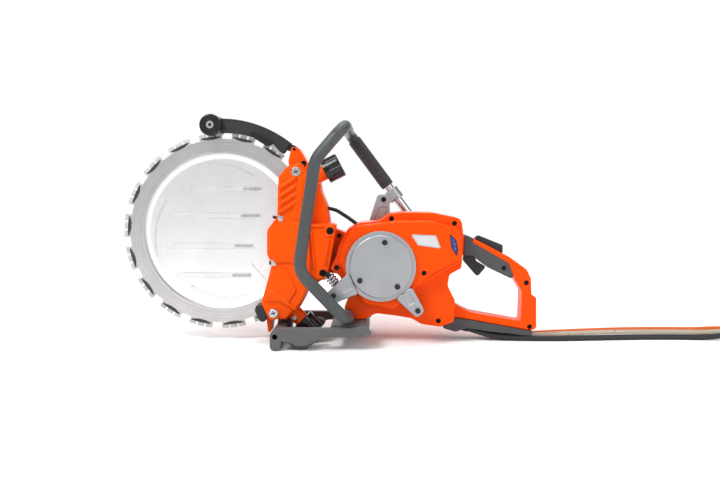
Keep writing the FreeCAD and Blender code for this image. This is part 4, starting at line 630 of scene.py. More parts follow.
    def piece(self, finish: Finish, body: str, slot: str, replaced: tuple[str, ...] = (),
              sharp_degrees: float = 35.0) -> bpy.types.Object:
        """Turns the mesh into a finished piece.

        Args:
            finish: The piece's finish.
            body: CAD body that it moves with.
            slot: Material slot of the record; not used.
            replaced: CAD nodes that it stands for.
            sharp_degrees: Angle above which an edge stays sharp.

        Returns:
            The new object.
        """
        bmesh.ops.remove_doubles(self.mesh, verts=self.mesh.verts, dist=1e-6)
        bmesh.ops.dissolve_degenerate(self.mesh, edges=self.mesh.edges, dist=1e-7)
        bmesh.ops.recalc_face_normals(self.mesh, faces=self.mesh.faces)
        data = bpy.data.meshes.new(self.name)
        self.mesh.to_mesh(data)
        self.mesh.free()
        made = linked(self.name, data)
        data.materials.append(material_of(finish))
        data.shade_smooth()
        data.set_sharp_from_angle(angle=math.radians(sharp_degrees))
        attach(made, body)
        if replaced:
            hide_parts(*replaced)
        LOG.info("%s has %d faces, on %s, in %s", self.name, len(data.polygons), body, finish.name)
        return made


def inset_outline(outline: Profile, inset: float) -> Profile:
    """Outline drawn in by a distance.

    Args:
        outline: Points (x, z) in order.
        inset: Distance in millimetres.

    Returns:
        The new points, as many as before.
    """
    if inset <= 0.0:
        return list(outline)
    area = sum(before[0] * here[1] - here[0] * before[1]
               for before, here in zip(outline[-1:] + outline[:-1], outline))
    sign = 1.0 if area > 0.0 else -1.0
    moved = []
    for index, point in enumerate(outline):
        here = Vector(point)
        back = (here - Vector(outline[index - 1])).normalized()
        ahead = (Vector(outline[(index + 1) % len(outline)]) - here).normalized()
        first = Vector((-back.y, back.x)) * sign
        second = Vector((-ahead.y, ahead.x)) * sign
        middle_way = (first + second).normalized()
        reach = inset / max(0.5, middle_way.dot(first))
        moved.append(tuple(here + middle_way * reach))
    return moved


def bent_line(corners: list[Vector], bends: tuple[float, ...], step_degrees: float = 7.5) -> list[Vector]:
    """Middle line of a bent tube.

    Args:
        corners: Corners of the line, in millimetres.
        bends: Bend radius at each corner between the ends.
        step_degrees: Angle of one step of a bend.

    Returns:
        Points along the line.
    """
    points = [corners[0]]
    for index, bend in enumerate(bends, start=1):
        corner = corners[index]
        back = (corners[index - 1] - corner).normalized()
        ahead = (corners[index + 1] - corner).normalized()
        half = back.angle(ahead) / 2
        centre = corner + (back + ahead).normalized() * (bend / math.sin(half))
        first = corner + back * (bend / math.tan(half)) - centre
        axis = first.cross(corner + ahead * (bend / math.tan(half)) - centre).normalized()
        turn = math.pi - 2 * half
        steps = max(2, round(math.degrees(turn) / step_degrees))
        points += [centre + Matrix.Rotation(turn * step / steps, 3, axis) @ first for step in range(steps + 1)]
    return points + [corners[-1]]


def smooth_line(points: list[Vector], steps: int = 8) -> list[Vector]:
    """Smooth line through points, by Catmull and Rom's rule.

    Args:
        points: Points that the line goes through.
        steps: Number of steps between two of them.

    Returns:
        Points along the line.
    """
    line = []
    for index in range(len(points) - 1):
        before, start, end, after = (points[min(max(index + offset, 0), len(points) - 1)] for offset in (-1, 0, 1, 2))
        for step in range(steps):
            share = step / steps
            line.append(0.5 * (2 * start + (end - before) * share
                               + (2 * before - 5 * start + 4 * end - after) * share ** 2
                               + (3 * start - before - 3 * end + after) * share ** 3))
    return line + [points[-1]]


# ---- studio -----------------------------------------------------------------------------------
@dataclass
class Studio:
    """Camera, soft lights and a pale floor.

    Attributes:
        eye: Camera's place, in the saw's millimetres.
        lens: Focal length for a 36 mm wide sensor, in millimetres.
        shift: Camera shift, across and up.
        floor_half: Half of the floor's side, in metres.
    """

    eye: Triple = (169.3, -1400.0, 285.0)
    lens: float = 36.8
    shift: Pair = (-0.0208, -0.0694)
    floor_half: float = 14.0

    def build(self) -> None:
        """Makes the camera, the lights, the floor and the sky."""
        data = bpy.data.cameras.new("camera")
        data.lens = self.lens
        data.sensor_width = 36.0
        data.shift_x, data.shift_y = self.shift
        data.clip_start, data.clip_end = 0.05, 60.0
        camera = linked("camera", data)
        camera.location = AXES.at(*self.eye)
        camera.rotation_euler = (math.radians(90), 0, 0)
        bpy.context.scene.camera = camera
        self.lamp("key_softbox", (-1.1, -1.2, 1.7), 0.8, 34.0)
        self.lamp("fill_softbox", (1.6, -1.2, 0.9), 1.0, 9.0)
        self.lamp("top_softbox", (0.1, 0.1, 2.1), 1.5, 30.0)
        self.lamp("back_softbox", (0.3, 1.9, 1.2), 1.4, 12.0)
        self.floor()
        self.sky()

    def lamp(self, name: str, place: Triple, side: float, watts: float) -> None:
        """Square soft light that looks at the saw's middle.

        Args:
            name: The light's name.
            place: Its place in metres.
            side: Side of the square, in metres.
            watts: Its power.
        """
        data = bpy.data.lights.new(name, "AREA")
        data.size = side
        data.energy = watts
        light = linked(name, data)
        light.location = place
        light.rotation_euler = (Vector((0.0, 0.0, 0.2)) - Vector(place)).to_track_quat("-Z", "Y").to_euler()

    def floor(self) -> None:
        """Plain pale floor, painted smooth."""
        data = bpy.data.meshes.new("floor")
        half = self.floor_half
        data.from_pydata([(-half, -half, 0), (half, -half, 0), (half, half, 0), (-half, half, 0)], [], [(0, 1, 2, 3)])
        floor = linked("floor", data)
        data.materials.append(FloorPaint().build())

    def sky(self) -> None:
        """Walls all round that look white but light softly, and a dimmer ceiling for glossy parts to mirror."""
        world = bpy.data.worlds.new("white_studio")
        world.use_nodes = True
        tree = world.node_tree
        tree.nodes.clear()
        height = add_node(tree, "SeparateXYZ", None, {0: add_node(tree, "TexCoord").outputs["Generated"]})
        wall = add_node(tree, "MapRange", {"From Min": 0.15, "From Max": 0.6, "To Min": 0.72, "To Max": 0.3},
                        {"Value": height.outputs["Z"]})
        seen = add_node(tree, "Math", {".operation": "MAXIMUM"},
                        {0: wall.outputs["Result"], 1: add_node(tree, "LightPath").outputs["Is Camera Ray"]})
        light = add_node(tree, "Background", {"Color": (1.0, 1.0, 1.0, 1.0)}, {"Strength": seen.outputs[0]})
        add_node(tree, "OutputWorld", None, {"Surface": light.outputs["Background"]})
        bpy.context.scene.world = world
        bpy.context.scene.view_settings.view_transform = "Standard"


@dataclass(frozen=True)
class FloorPaint:
    """Seamless white studio floor: matt paint by the saw, which fades into the white walls far from it.

    Attributes:
        colour: The paint's colour as sRGB hex.
        near: Distance up to which shadows show, in metres.
        far: Distance from which it is as white as the walls, in metres.
    """

    colour: str = "#F6F6F6"
    near: float = 0.95
    far: float = 2.1

    def build(self) -> bpy.types.Material:
        """The floor's material."""
        material = bpy.data.materials.new("White studio floor paint")
        material.use_nodes = True
        tree = material.node_tree
        tree.nodes.clear()
        place = add_node(tree, "TexCoord").outputs["Object"]
        away = add_node(tree, "VectorMath", {".operation": "LENGTH"}, {0: place}).outputs["Value"]
        fade = add_node(tree, "MapRange", {".interpolation_type": "SMOOTHSTEP", "From Min": self.near,
                                           "From Max": self.far}, {"Value": away}).outputs["Result"]
        paint = add_node(tree, "BsdfDiffuse", {"Color": linear(self.colour), "Roughness": 0.6})
        wall = add_node(tree, "Emission", {"Color": (1.0, 1.0, 1.0, 1.0), "Strength": 1.0})
        both = add_node(tree, "MixShader", None, {0: fade, 1: paint.outputs[0], 2: wall.outputs[0]})
        add_node(tree, "OutputMaterial", None, {"Surface": both.outputs[0]})
        return material


# ---- cords ------------------------------------------------------------------------------------
@dataclass
class TrailingCord:
    """One cord that leaves the rear of the saw and lies on the floor.

    Attributes:
        name: The cord's CAD node, which its piece stands for.
        route: Control points, in the saw's millimetres.
        radius: Half of its diameter, in millimetres.
        length: Its real length, in millimetres; not used.
        finish: Its finish.
        slot: Material slot of the record; not used.
        far_end: What is on its far end; not used.
        stiffness: How it bends; not used.
        end_node: CAD node on its far end; not used.
    """

    name: str
    route: list[Triple]
    radius: float
    length: float
    finish: Finish
    slot: str
    far_end: str
    stiffness: str
    end_node: str

    def build(self) -> bpy.types.Object:
        data = bpy.data.curves.new(self.name + "_line", "CURVE")
        data.dimensions = "3D"
        data.bevel_depth = self.radius * MM
        data.bevel_resolution = 5
        data.resolution_u = 16
        data.use_fill_caps = True
        spline = data.splines.new("NURBS")
        spline.points.add(len(self.route) - 1)
        for point, place in zip(spline.points, self.route):
            point.co = (*AXES.at(*place), 1.0)
        spline.order_u = 3
        spline.use_endpoint_u = True
        cord = linked(self.name + "_line", data)
        data.materials.append(material_of(self.finish))
        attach(cord, "machine")
        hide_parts(self.name)
        LOG.info("%s is a smooth curve of %d points, in %s", self.name, len(self.route), self.finish.name)
        return cord


POWER_CABLE = TrailingCord(
    "power_cable",
    [(346, -4, 22.5), (368, -4.6, 15.4), (394, -6.5, 9.0), (432, -9, 5.6), (490, -12, 5.3), (560, -9, 5.3),
     (640, 0, 5.3), (725, 3, 5.3), (795, -2, 5.3), (830, -6, 9.4), (860, -8, 15.5), (884, -11, 15.5)],
    5.3, 542.0, CABLE_SHEATH, "cable_sheath", "connector", "medium", "power_connector")
WATER_HOSE = TrailingCord(
    "water_hose",
    [(346, 10, 22.5), (368, 11, 15.0), (394, 14.5, 8.2), (432, 21, 4.4), (500, 35, 4.0), (585, 52, 4.0),
     (675, 62, 4.0), (765, 61, 4.0), (825, 56, 4.4), (860, 52, 7.5), (886, 50.5, 7.5)],
    4.0, 547.1, CLEAR_HOSE, "clear_hose", "fitting", "medium", "hose_couplings")
RETURN_HOSE = TrailingCord(
    "return_hose",
    [(346, 24, 22.5), (368, 25, 15.4), (394, 28.5, 8.6), (432, 36, 4.65), (500, 51, 4.25), (580, 71, 4.25),
     (668, 86, 4.25), (755, 88, 4.25), (815, 83, 4.6), (850, 79, 7.5), (876, 77.5, 7.5)],
    4.25, 538.8, ORANGE_HOSE, "orange_hose", "fitting", "medium", "hose_couplings")


# ---- sub-assemblies ---------------------------------------------------------------------------
# How far a raised shape reaches into the face below it, in millimetres.
SUNK = 0.5
# Sides of a line that is too thin to look faceted.
THREAD_SIDES = 6


def moved(corners: Triples, place: Pair) -> Outline:
    """Corners (x, z, radius) moved from (0, 0) to a place."""
    return [(place[0] + x, place[1] + z, radius) for x, z, radius in corners]


def circle(x: float, z: float, radius: float, count: int, first: float = 225.0) -> Profile:
    """Evenly spaced points of a circle about (x, z), the first at an angle that is lower left by default."""
    angles = [math.radians(first + 360 * step / count) for step in range(count)]
    return [(x + radius * math.cos(angle), z + radius * math.sin(angle)) for angle in angles]


def bar_outline(start: Pair, end: Pair, half: float) -> Profile:
    """Outline of a straight bar with round ends.

    Args:
        start: First end (x, z), in millimetres.
        end: Other end.
        half: Half of its width.

    Returns:
        Points in order.
    """
    first, last = Vector(start), Vector(end)
    way = math.atan2(last.y - first.y, last.x - first.x)
    points = []
    for centre, base in ((first, way + math.pi / 2), (last, way - math.pi / 2)):
        points += [(centre.x + half * math.cos(base + math.pi * step / 6),
                    centre.y + half * math.sin(base + math.pi * step / 6)) for step in range(7)]
    return points


@dataclass
class RingBlade:
    """Ring saw blade: a toothed steel ring with sintered segments, which turns.

    Attributes:
        segments: Number of segments.
        first_degrees: Angle of the middle of the first segment.
        weld_half_degrees: Half of the angle that one weld bar spans.
        weld_radii: Radius of its inner belly, its inner ends and its outer side.
        weld_levels, weld_rim: Distance of its top and foot from the ring's plane, and the radius of its rim.
        weld_steps: Steps along each of its sides.
        line_radii: Radii of the turned lines on the flat of the core.
        lip_radius: Radius of the darker line on the guide bead, painted groove shade.
        flat, bead: Distance of the flat and of the bead from the ring's plane.
        line_halves: Half of a turned line's width at its foot and at its top.
        line_height: How far it stands out, and how far it goes in.
    """

    segments: int = 18
    first_degrees: float = 17.0
    weld_half_degrees: float = 6.0
    weld_radii: Triple = (172.8, 176.6, 178.9)
    weld_levels: Pair = (3.0, 1.3)
    weld_rim: float = 0.45
    weld_steps: int = 8
    line_radii: tuple[float, ...] = (167.5, 160.4, 155.8, 153.5)
    lip_radius: float = 147.6
    flat: float = 1.5
    bead: float = 2.3
    line_halves: Pair = (0.3, 0.2)
    line_height: float = 0.1

    def build(self) -> None:
        """Dresses the ring's nodes and adds its welds and turned lines."""
        dress_nodes(BLADE_STEEL, "ring_core")
        dress_nodes(SINTERED, "diamond_segments")
        self.weld_bars()
        self.turned_lines()

    def weld_bars(self) -> None:
        """Dark lens-shaped laser welds between each segment and the core, on both faces."""
        maker = MeshMaker("weld_bars")
        belly, ends, outer = self.weld_radii
        top, foot = self.weld_levels
        shares = [step / self.weld_steps * 2 - 1 for step in range(self.weld_steps + 1)]
        sides = [(outer, share) for share in shares]
        sides += [(belly + (ends - belly) * share * share, share) for share in [-share for share in shares]]
        for index in range(self.segments):
            angle = self.first_degrees + index * 360.0 / self.segments
            points = [ring_points(radius, angle + share * self.weld_half_degrees) for radius, share in sides]
            maker.prism(points, -top, -foot, self.weld_rim, frame_points=True)
            maker.prism(points, top, foot, self.weld_rim, frame_points=True)
        maker.piece(WELD_STEEL, "ring", "blade_steel")

    def turned_lines(self) -> None:
        """Fine grooves left by grinding, drawn as thin raised threads in darker steel: painted groove shade."""
        maker = MeshMaker("turned_lines")
        foot, top = self.line_halves
        for radius, face in [(radius, self.flat) for radius in self.line_radii] + [(self.lip_radius, self.bead)]:
            low, high = face - self.line_height, face + self.line_height
            for sign in (1.0, -1.0):
                profile = [(radius - foot, sign * low), (radius - top, sign * high), (radius + top, sign * high),
                           (radius + foot, sign * low)]
                maker.revolve(RING_CENTRE, NEAR, profile, steps=200)
        maker.piece(GROOVE_SHADE_STEEL, "ring", "blade_steel")


@dataclass
class CentreDisc:
    """Fixed brushed disc inside the ring, with pressed slots and spring clips.

    Attributes:
        face: Y of the disc's near face, in millimetres.
        slots: Middle (x, z) from the ring's centre and length of each pressed slot.
        slot_half: Half of a slot's height.
        knurl_height: How far the knurled strip stands out.
        rim_gap, rim_radius: A slot rim's distance from the strip, and its radius.
        dull_reach: How far before a slot's rear end its dull part starts and ends.
        dull_inset, dull_height: Its inset from the slot's side, and its height.
        spiral_starts: Angles at which the pressed spiral lines start.
        spiral_radii: Radius at which a spiral starts and at which it ends.
        spiral_sweep: Angle that a spiral turns through.
        spiral_gaps: Distance of each of its two lines from the outer one.
        spiral_steps, spiral_radius: Number of steps and radius of a line.
        dimple: Place of a dimple from the spiral's start, inwards and back in degrees.
        dimple_profile: Corners of the dimple, as radius and height.
        seam_radii, seam_degrees, seam_half, seam_height: Ends, angle, half width and height of the short line.
        clips: Middle (x, z) of each clip's rubber tip.
        tip: Corners of a tip from its middle, each with its radius.
        tip_levels, tip_rim: Y of a tip's two faces, and the radius of its rim.
    """

    face: float = -1.5
    slots: Triples = ((10, 79, 128), (-11, 28, 163), (-21, -29, 158), (-13, -85, 134))
    slot_half: float = 4.4
    knurl_height: float = 0.12
    rim_gap: float = 0.7
    rim_radius: float = 0.22
    dull_reach: Pair = (32.0, 1.5)
    dull_inset: float = 1.4
    dull_height: float = 0.3
    spiral_starts: tuple[float, ...] = (61.6, 153.0, 242.5, 332.0)
    spiral_radii: Pair = (121.0, 132.5)
    spiral_sweep: float = 50.0
    spiral_gaps: Pair = (0.0, 2.4)
    spiral_steps: int = 32
    spiral_radius: float = 0.42
    dimple: Pair = (1.2, 1.0)
    dimple_profile: Pairs = ((0.0, 0.6), (1.2, 0.5), (2.0, 0.0), (2.0, -0.4), (0.0, -0.4))
    seam_radii: Pair = (84.0, 126.0)
    seam_degrees: float = -48.4
    seam_half: float = 0.6
    seam_height: float = 0.2
    clips: Pairs = ((-21.0, 231.5), (-24.5, 151.5))
    tip: Triples = ((-4, 0.5, 1), (-2.6, 5, 1), (3.5, 3.2, 1), (2, -1.5, 1))
    tip_levels: Pair = (-7.0, -1.6)
    tip_rim: float = 0.8

    def build(self) -> None:
        """Dresses the disc and its clips and adds the pressed detail."""
        dress_nodes(DISC_STEEL, "centre_disc")
        dress_nodes(TURNED_STEEL, "disc_clips")
        self.pressed_slots()
        self.spirals()
        self.clip_tips()

    def pressed_slots(self) -> None:
        """Long knurled slots across the disc, darker at their rear ends, each outlined by a darker thread as painted
        shade of its pressed edge.
        """
        centre_x, centre_z = RING_CENTRE.x / MM, RING_CENTRE.z / MM
        strips, ends, rims = MeshMaker("slot_strips"), MeshMaker("slot_ends"), MeshMaker("slot_rims")
        for x, z, length in self.slots:
            start = (centre_x + x - length / 2, centre_z + z)
            end = (centre_x + x + length / 2, centre_z + z)
            for face, height in ((self.face, -self.knurl_height), (-self.face, self.knurl_height)):
                strips.prism(bar_outline(start, end, self.slot_half), face + height, face, frame_points=True)
            # Slot rim: a thread in darker steel, painted shade along the pressed edge.
            outline = bar_outline(start, end, self.slot_half + self.rim_gap)
            line = [AXES.in_frame(rim_x, self.face, rim_z) for rim_x, rim_z in outline]
            rims.sweep(line + line[:1], self.rim_radius, THREAD_SIDES)
            first, last = ((end[0] - reach, end[1]) for reach in self.dull_reach)
            ends.prism(bar_outline(first, last, self.slot_half - self.dull_inset), self.face - self.dull_height,
                       self.face, frame_points=True)
        strips.piece(KNURLED_STEEL, "machine", "disc_steel")
        rims.piece(DARKER_STEEL, "machine", "disc_steel")
        ends.piece(DARKER_STEEL, "machine", "disc_steel")

    def spirals(self) -> None:
        """Pressed double lines that lead water outwards, each from a small dimple, drawn as darker raised threads and
        bumps as painted shade of the pressings.
        """
        maker = MeshMaker("spiral_lines")
        inner, outer = self.spiral_radii
        for start in self.spiral_starts:
            for gap in self.spiral_gaps:
                points = []
                for step in range(self.spiral_steps + 1):
                    share = step / self.spiral_steps
                    x, z = ring_points(inner + (outer - inner) * share - gap, start + self.spiral_sweep * share)
                    points.append(AXES.in_frame(x, self.face + 0.1, z))
                maker.sweep(points, self.spiral_radius, THREAD_SIDES)
            x, z = ring_points(inner - self.dimple[0], start - self.dimple[1])
            maker.revolve(AXES.in_frame(x, self.face, z), NEAR, self.dimple_profile, 20)
        first, last = (ring_points(radius, self.seam_degrees) for radius in self.seam_radii)
        maker.prism(bar_outline(first, last, self.seam_half), self.face - self.seam_height, self.face,
                    frame_points=True)
        maker.piece(DARKER_STEEL, "machine", "disc_steel")

    def clip_tips(self) -> None:
        """Black rubber tips on the clips that hold the disc."""
        maker = MeshMaker("clip_tips")
        for place in self.clips:
            maker.prism(rounded(moved(self.tip, place)), *self.tip_levels, self.tip_rim)
        maker.piece(BLACK_RUBBER, "machine", "black_rubber")


# A raised shape: its outline, how far it stands out of its face and the radius of its rim.
Relief = tuple[Outline, float, float]
# A raised bar: its two ends, half of its width, how far it stands out and the radius of its rim.
Bar = tuple[Pair, Pair, float, float, float]


def raised_bar(start: Pair, end: Pair, half: float, height: float, rim: float) -> Relief:
    """The raised shape of a bar with round ends."""
    return bar_outline(start, end, half), height, rim


@dataclass
class RollerHead:
    """Cast head that carries the ring's rollers, with its cover, pins and two tension knobs.

    Attributes:
        pod_face: Y of the cover's raised face, in millimetres.
        block_face: Y of the face of the bolted block.
        pivots: Places of the two pivot heads.
        boss_profile: Corners of the boss under a pivot head, as radius and height.
        slot_bars: End from the head's middle, half width and top's Y of each bar of its cross slot.
        slot_foot: Y of the bars' foot.
        bolts: Places of the block's bolts.
        pad: Corners of the pad round a bolt, from the bolt, each with its radius.
        pad_mouths: Radii of the pad's hole, at its foot and at its mouth.
        rib_starts, rib_x: Z and X of the lower end of each diagonal rib.
        rib_run, rib_relief: How far it goes across and up, and its half width, height and rim.
        brace: The brace across the cover.
        cover_steps: Raised steps of the cover: dome, skirt and flange.
        block_bars: Bars on the block.
        screws: Place and head radius of each small black screw.
        screw_profile: Corners of its head, as a share of its radius and a height.
        foot_screw, foot_profile: Place and profile of the bright screw.
        clips: Places where the spring clips cross the cover's left edge.
        clip_plate, clip_tongue: Corners of a clip's plate and of its tongue, from its place.
    """

    pod_face: float = -45.0
    block_face: float = -35.0
    pivots: Pairs = ((23.7, 318.8), (-17.6, 58.2))
    boss_profile: Pairs = (
        (8.7, -0.5), (8.7, 1.4), (9.6, 2.0), (11.2, 1.9), (12.4, 0.9), (12.7, -0.5))
    slot_bars: tuple[tuple[float, float, float, float], ...] = ((3.6, 1.4, 0.9, -48.12), (-1.4, 3.6, 0.6, -48.1))
    slot_foot: float = -47.9
    bolts: Pairs = ((86.0, 209.0), (73.0, 131.0))
    pad: Triples = ((-10, -10, 3), (8.5, -10, 3), (8.5, 10, 3), (-10, 10, 3))
    pad_mouths: Pair = (6.8, 7.6)
    rib_starts: tuple[float, ...] = (244.0, 259.0, 274.0, 289.0)
    rib_x: float = -5.5
    rib_run: Pair = (27.0, 18.0)
    rib_relief: Triple = (4.0, 5.0, 3.4)
    brace: Bar = ((-30.0, 101.0), (22.0, 66.0), 3.2, 5.0, 2.8)
    cover_steps: tuple[Relief, ...] = (
        ([(-26, 168, 14), (-26, 206, 14), (-9, 227, 8), (36, 226, 7), (42, 190, 30), (44, 150, 8), (-15, 150, 8)],
         4.5, 4.3),
        ([(-37, 78, 6), (-28, 103, 8), (-19, 140, 4), (6, 141, 6), (26, 100, 10), (8, 72, 12), (-12, 80, 10)],
         3.0, 2.8),
        ([(14, 232, 3), (37, 231, 4), (33, 262, 10), (39, 306, 8), (33, 322, 5), (26, 300, 12)], 1.6, 1.3))
    block_bars: tuple[Bar, ...] = (
        ((52, 218), (74, 218), 2.6, 3.2, 2.3), ((50, 208), (57, 140), 2.4, 3.2, 2.2),
        ((84, 194), (76, 148), 2.6, 3.2, 2.4))
    screws: tuple[tuple[float, float, float, float], ...] = (
        (35.0, -14.0, 335.0, 5.4), (101.0, 10.0, 198.0, 4.4), (98.0, -34.0, 141.0, 4.8), (107.0, 10.0, 185.0, 2.6))
    screw_profile: Pairs = (
        (0.0, -0.4), (0.0, 0.3), (0.55, 0.3), (0.65, 1.1), (0.92, 1.1), (1.0, 0.6), (1.0, -0.4))
    foot_screw: Triple = (21.0, -34.4, 48.0)
    foot_profile: Pairs = (
        (0.0, -3.0), (0.0, 2.0), (2.2, 2.0), (2.7, 2.6), (3.9, 2.6), (4.4, 2.0), (4.4, -3.0))
    clips: Pairs = ((-6.0, 233.0), (-19.0, 151.0))
    clip_plate: Triples = ((-3, -5, 1.5), (6, -6, 2.5), (7, 4, 2.5), (-3, 6, 1.5))
    clip_tongue: Triples = ((-7, -4, 1.5), (-1, -4, 1.0), (-1, 3, 1.0), (-7, 3, 1.5))

    def build(self) -> None:
        """Dresses the castings, pins and knobs, and adds the cover's relief."""
        dress_nodes(ORANGE_CASTING, "drive_arm", "belt_cover", "roller_cover")
        dress_nodes(TURNED_STEEL, "roller_pins", "springs", "upper_support_roller", "lower_support_roller",
                    "upper_guide_roller", "lower_guide_roller")
        dress_nodes(BLACK_OXIDE, "bolts", "hinge_pins", "upper_roller_lever", "lower_roller_lever")
        dress_nodes(KNOB_PLASTIC, "upper_knob", "lower_knob")
        self.relief("cover_relief", self.pod_face, self.cover_shapes())
        self.relief("block_relief", self.block_face, [raised_bar(*bar) for bar in self.block_bars])
        self.pivot_bosses()
        self.bolt_pads()
        self.pin_slot_shades()
        self.small_screws()
        self.edge_clips()

    def cover_shapes(self) -> list[Relief]:
        """The cover's ribs, dome, skirt, brace and flange."""
        across, up = self.rib_run
        ribs = [raised_bar((self.rib_x, low), (self.rib_x + across, low + up), *self.rib_relief)
                for low in self.rib_starts]
        dome, skirt, flange = ((rounded(corners), height, rim) for corners, height, rim in self.cover_steps)
        return ribs + [dome, skirt, raised_bar(*self.brace), flange]

    def relief(self, name: str, face: float, shapes: list[Relief]) -> None:
        """One piece of raised shapes on a cast face.

        Args:
            name: The piece's name.
            face: Y of the face, in millimetres.
            shapes: The raised shapes.
        """
        maker = MeshMaker(name)
        for outline, height, rim in shapes:
            maker.prism(outline, face - height, face + SUNK, rim)
        maker.piece(ORANGE_CASTING, "machine", "orange_casting")

    def pivot_bosses(self) -> None:
        """Round bosses under the two bright pivot heads."""
        maker = MeshMaker("pivot_bosses")
        for x, z in self.pivots:
            maker.button((x, self.pod_face, z), self.boss_profile, 48)
        maker.piece(ORANGE_CASTING, "machine", "orange_casting")

    def bolt_pads(self) -> None:
        """Square raised pads with a round mouth for the block's bolts."""
        maker = MeshMaker("bolt_pads")
        for x, z in self.bolts:
            outer = rounded(moved(self.pad, (x, z)))
            inner, mouth = (circle(x, z, radius, len(outer)) for radius in self.pad_mouths)
            maker.stack(self.block_face, ((outer, 0.4), (outer, -2.0), (inset_outline(outer, 0.5), -2.7),
                                          (mouth, -2.7), (inner, -2.1), (inner, 0.4)), closed=True)
        maker.piece(ORANGE_CASTING, "machine", "orange_casting")

    def pin_slot_shades(self) -> None:
        """Screwdriver slots in the pivot heads, drawn as black bars standing slightly out: painted shade of the
        slots.
        """
        maker = MeshMaker("pin_slot_shades")
        for x, z in self.pivots:
            for across, up, half, top in self.slot_bars:
                maker.prism(bar_outline((x - across, z - up), (x + across, z + up), half), top, self.slot_foot)
        maker.piece(BLACK_OXIDE, "machine", "black_steel")

    def small_screws(self) -> None:
        """Sunk black screws beside the cover and in the gap before the housing, and a bright one at the foot."""
        maker = MeshMaker("small_screws")
        for x, y, z, radius in self.screws:
            maker.button((x, y, z), [(radius * share, height) for share, height in self.screw_profile])
        maker.piece(BLACK_OXIDE, "machine", "black_steel")
        bright = MeshMaker("foot_screw")
        bright.button(self.foot_screw, self.foot_profile)
        bright.piece(TURNED_STEEL, "machine", "bright_steel")

    def edge_clips(self) -> None:
        """Two spring clips that hold the cover's left edge, with dark tongues down its wall."""
        plates, tongues = MeshMaker("clip_plates"), MeshMaker("clip_tongues")
        face = self.pod_face
        for x, z in self.clips:
            plates.prism(rounded(moved(self.clip_plate, (x, z))), face - 1.4, face + 0.3, rim=0.6)
            plates.prism(bar_outline((x - 1, z - 1), (x + 4, z - 1), 1.6), face - 2.3, face - 1.3, rim=0.5)
            tongues.prism(rounded(moved(self.clip_tongue, (x, z))), face + 2.0, face + 12.0, rim=0.6)
        plates.piece(TURNED_STEEL, "machine", "bright_steel")
        tongues.piece(BLACK_OXIDE, "machine", "black_steel")


@dataclass
class DriveLine:
    """Belt, pulleys, motor and drive wheel inside the castings and the housing."""

    def build(self) -> None:
        """Dresses the nodes of the drive."""
        dress_nodes(TURNED_STEEL, "drive_wheel", "drive_shaft", "bearings", "motor_shaft")
        dress_nodes(BLACK_OXIDE, "driven_pulley", "motor_pulley")
        dress_nodes(BLACK_RUBBER, "drive_belt")
        dress_nodes(WINDINGS, "motor_rotor", "motor_stator")


@dataclass
class BladeGuard:
    """Swinging guard over the ring, with two rollers on a cross axle.

    Attributes:
        rim_spans: Inner and outer radius of each rim, in millimetres.
        half_width: Half of the guard's width.
        arc: Angle at which the rims start and angle that they span.
        rim_levels: How far a rim goes in and how far it stands out.
        axle_end: Distance of the axle's ends from the ring's plane.
        socket: Radius and first angle of a hexagon socket.
        socket_levels: How far a socket stands out and goes in.
        moulded_radii: Radii of the rings on the rollers' outer faces.
        moulded_levels: Distance of those rings' foot and top from the ring's plane.
    """

    rim_spans: Pairs = ((208.5, 211.3), (192.9, 194.5))
    half_width: float = 15.0
    arc: Pair = (53.4, 36.0)
    rim_levels: Pair = (0.4, 0.8)
    axle_end: float = 30.0
    socket: Pair = (3.3, 10.0)
    socket_levels: Pair = (0.15, 0.3)
    moulded_radii: Pair = (11.0, 17.0)
    moulded_levels: Pair = (27.3, 28.2)

    def build(self) -> None:
        """Dresses the guard and adds its rims and the painted shade of its axle sockets."""
        dress_nodes(GUARD_PLASTIC, "blade_guard")
        dress_nodes(KNOB_PLASTIC, "guard_rollers", "guard_clip")
        dress_nodes(TURNED_STEEL, "guard_axle", "guard_strap")
        self.rims()
        self.sockets()
        self.roller_rings()

    def rims(self) -> None:
        """Moulded rims along the guard's two outer edges."""
        maker = MeshMaker("guard_rims")
        for sign in (1.0, -1.0):
            foot, top = (sign * (self.half_width + level) for level in (-self.rim_levels[0], self.rim_levels[1]))
            for low, high in self.rim_spans:
                profile = [(low, foot), (low + 0.3, top), (high - 0.4, top), (high, foot)]
                maker.revolve(RING_CENTRE, NEAR, profile, 60, *self.arc)
        maker.piece(GUARD_PLASTIC, "guard", "dark_plastic")

    def sockets(self) -> None:
        """Hexagon sockets in the axle's two ends, drawn as black hexagons standing slightly out: painted shade of the
        recesses.
        """
        maker = MeshMaker("axle_socket_shades")
        centre = middle("guard_axle")
        radius, first = self.socket
        outline = circle((centre.x - AXES.shaft_x) / MM, centre.z / MM, radius, 6, first)
        for sign in (-1.0, 1.0):
            maker.prism(outline, sign * (self.axle_end + self.socket_levels[0]),
                        sign * (self.axle_end - self.socket_levels[1]))
        maker.piece(BLACK_OXIDE, "guard", "black_steel")

    def roller_rings(self) -> None:
        """Moulded rings on the rollers' outer faces."""
        maker = MeshMaker("roller_rings")
        centre = middle("guard_rollers")
        foot, top = self.moulded_levels
        for sign in (1.0, -1.0):
            for radius in self.moulded_radii:
                profile = [(radius - 1.0, sign * foot), (radius - 0.5, sign * top), (radius + 0.5, sign * top),
                           (radius + 1.0, sign * foot)]
                maker.revolve(Vector((centre.x, AXES.plane_y, centre.z)), NEAR, profile, 60)
        maker.piece(KNOB_PLASTIC, "guard_wheels", "black_plastic")


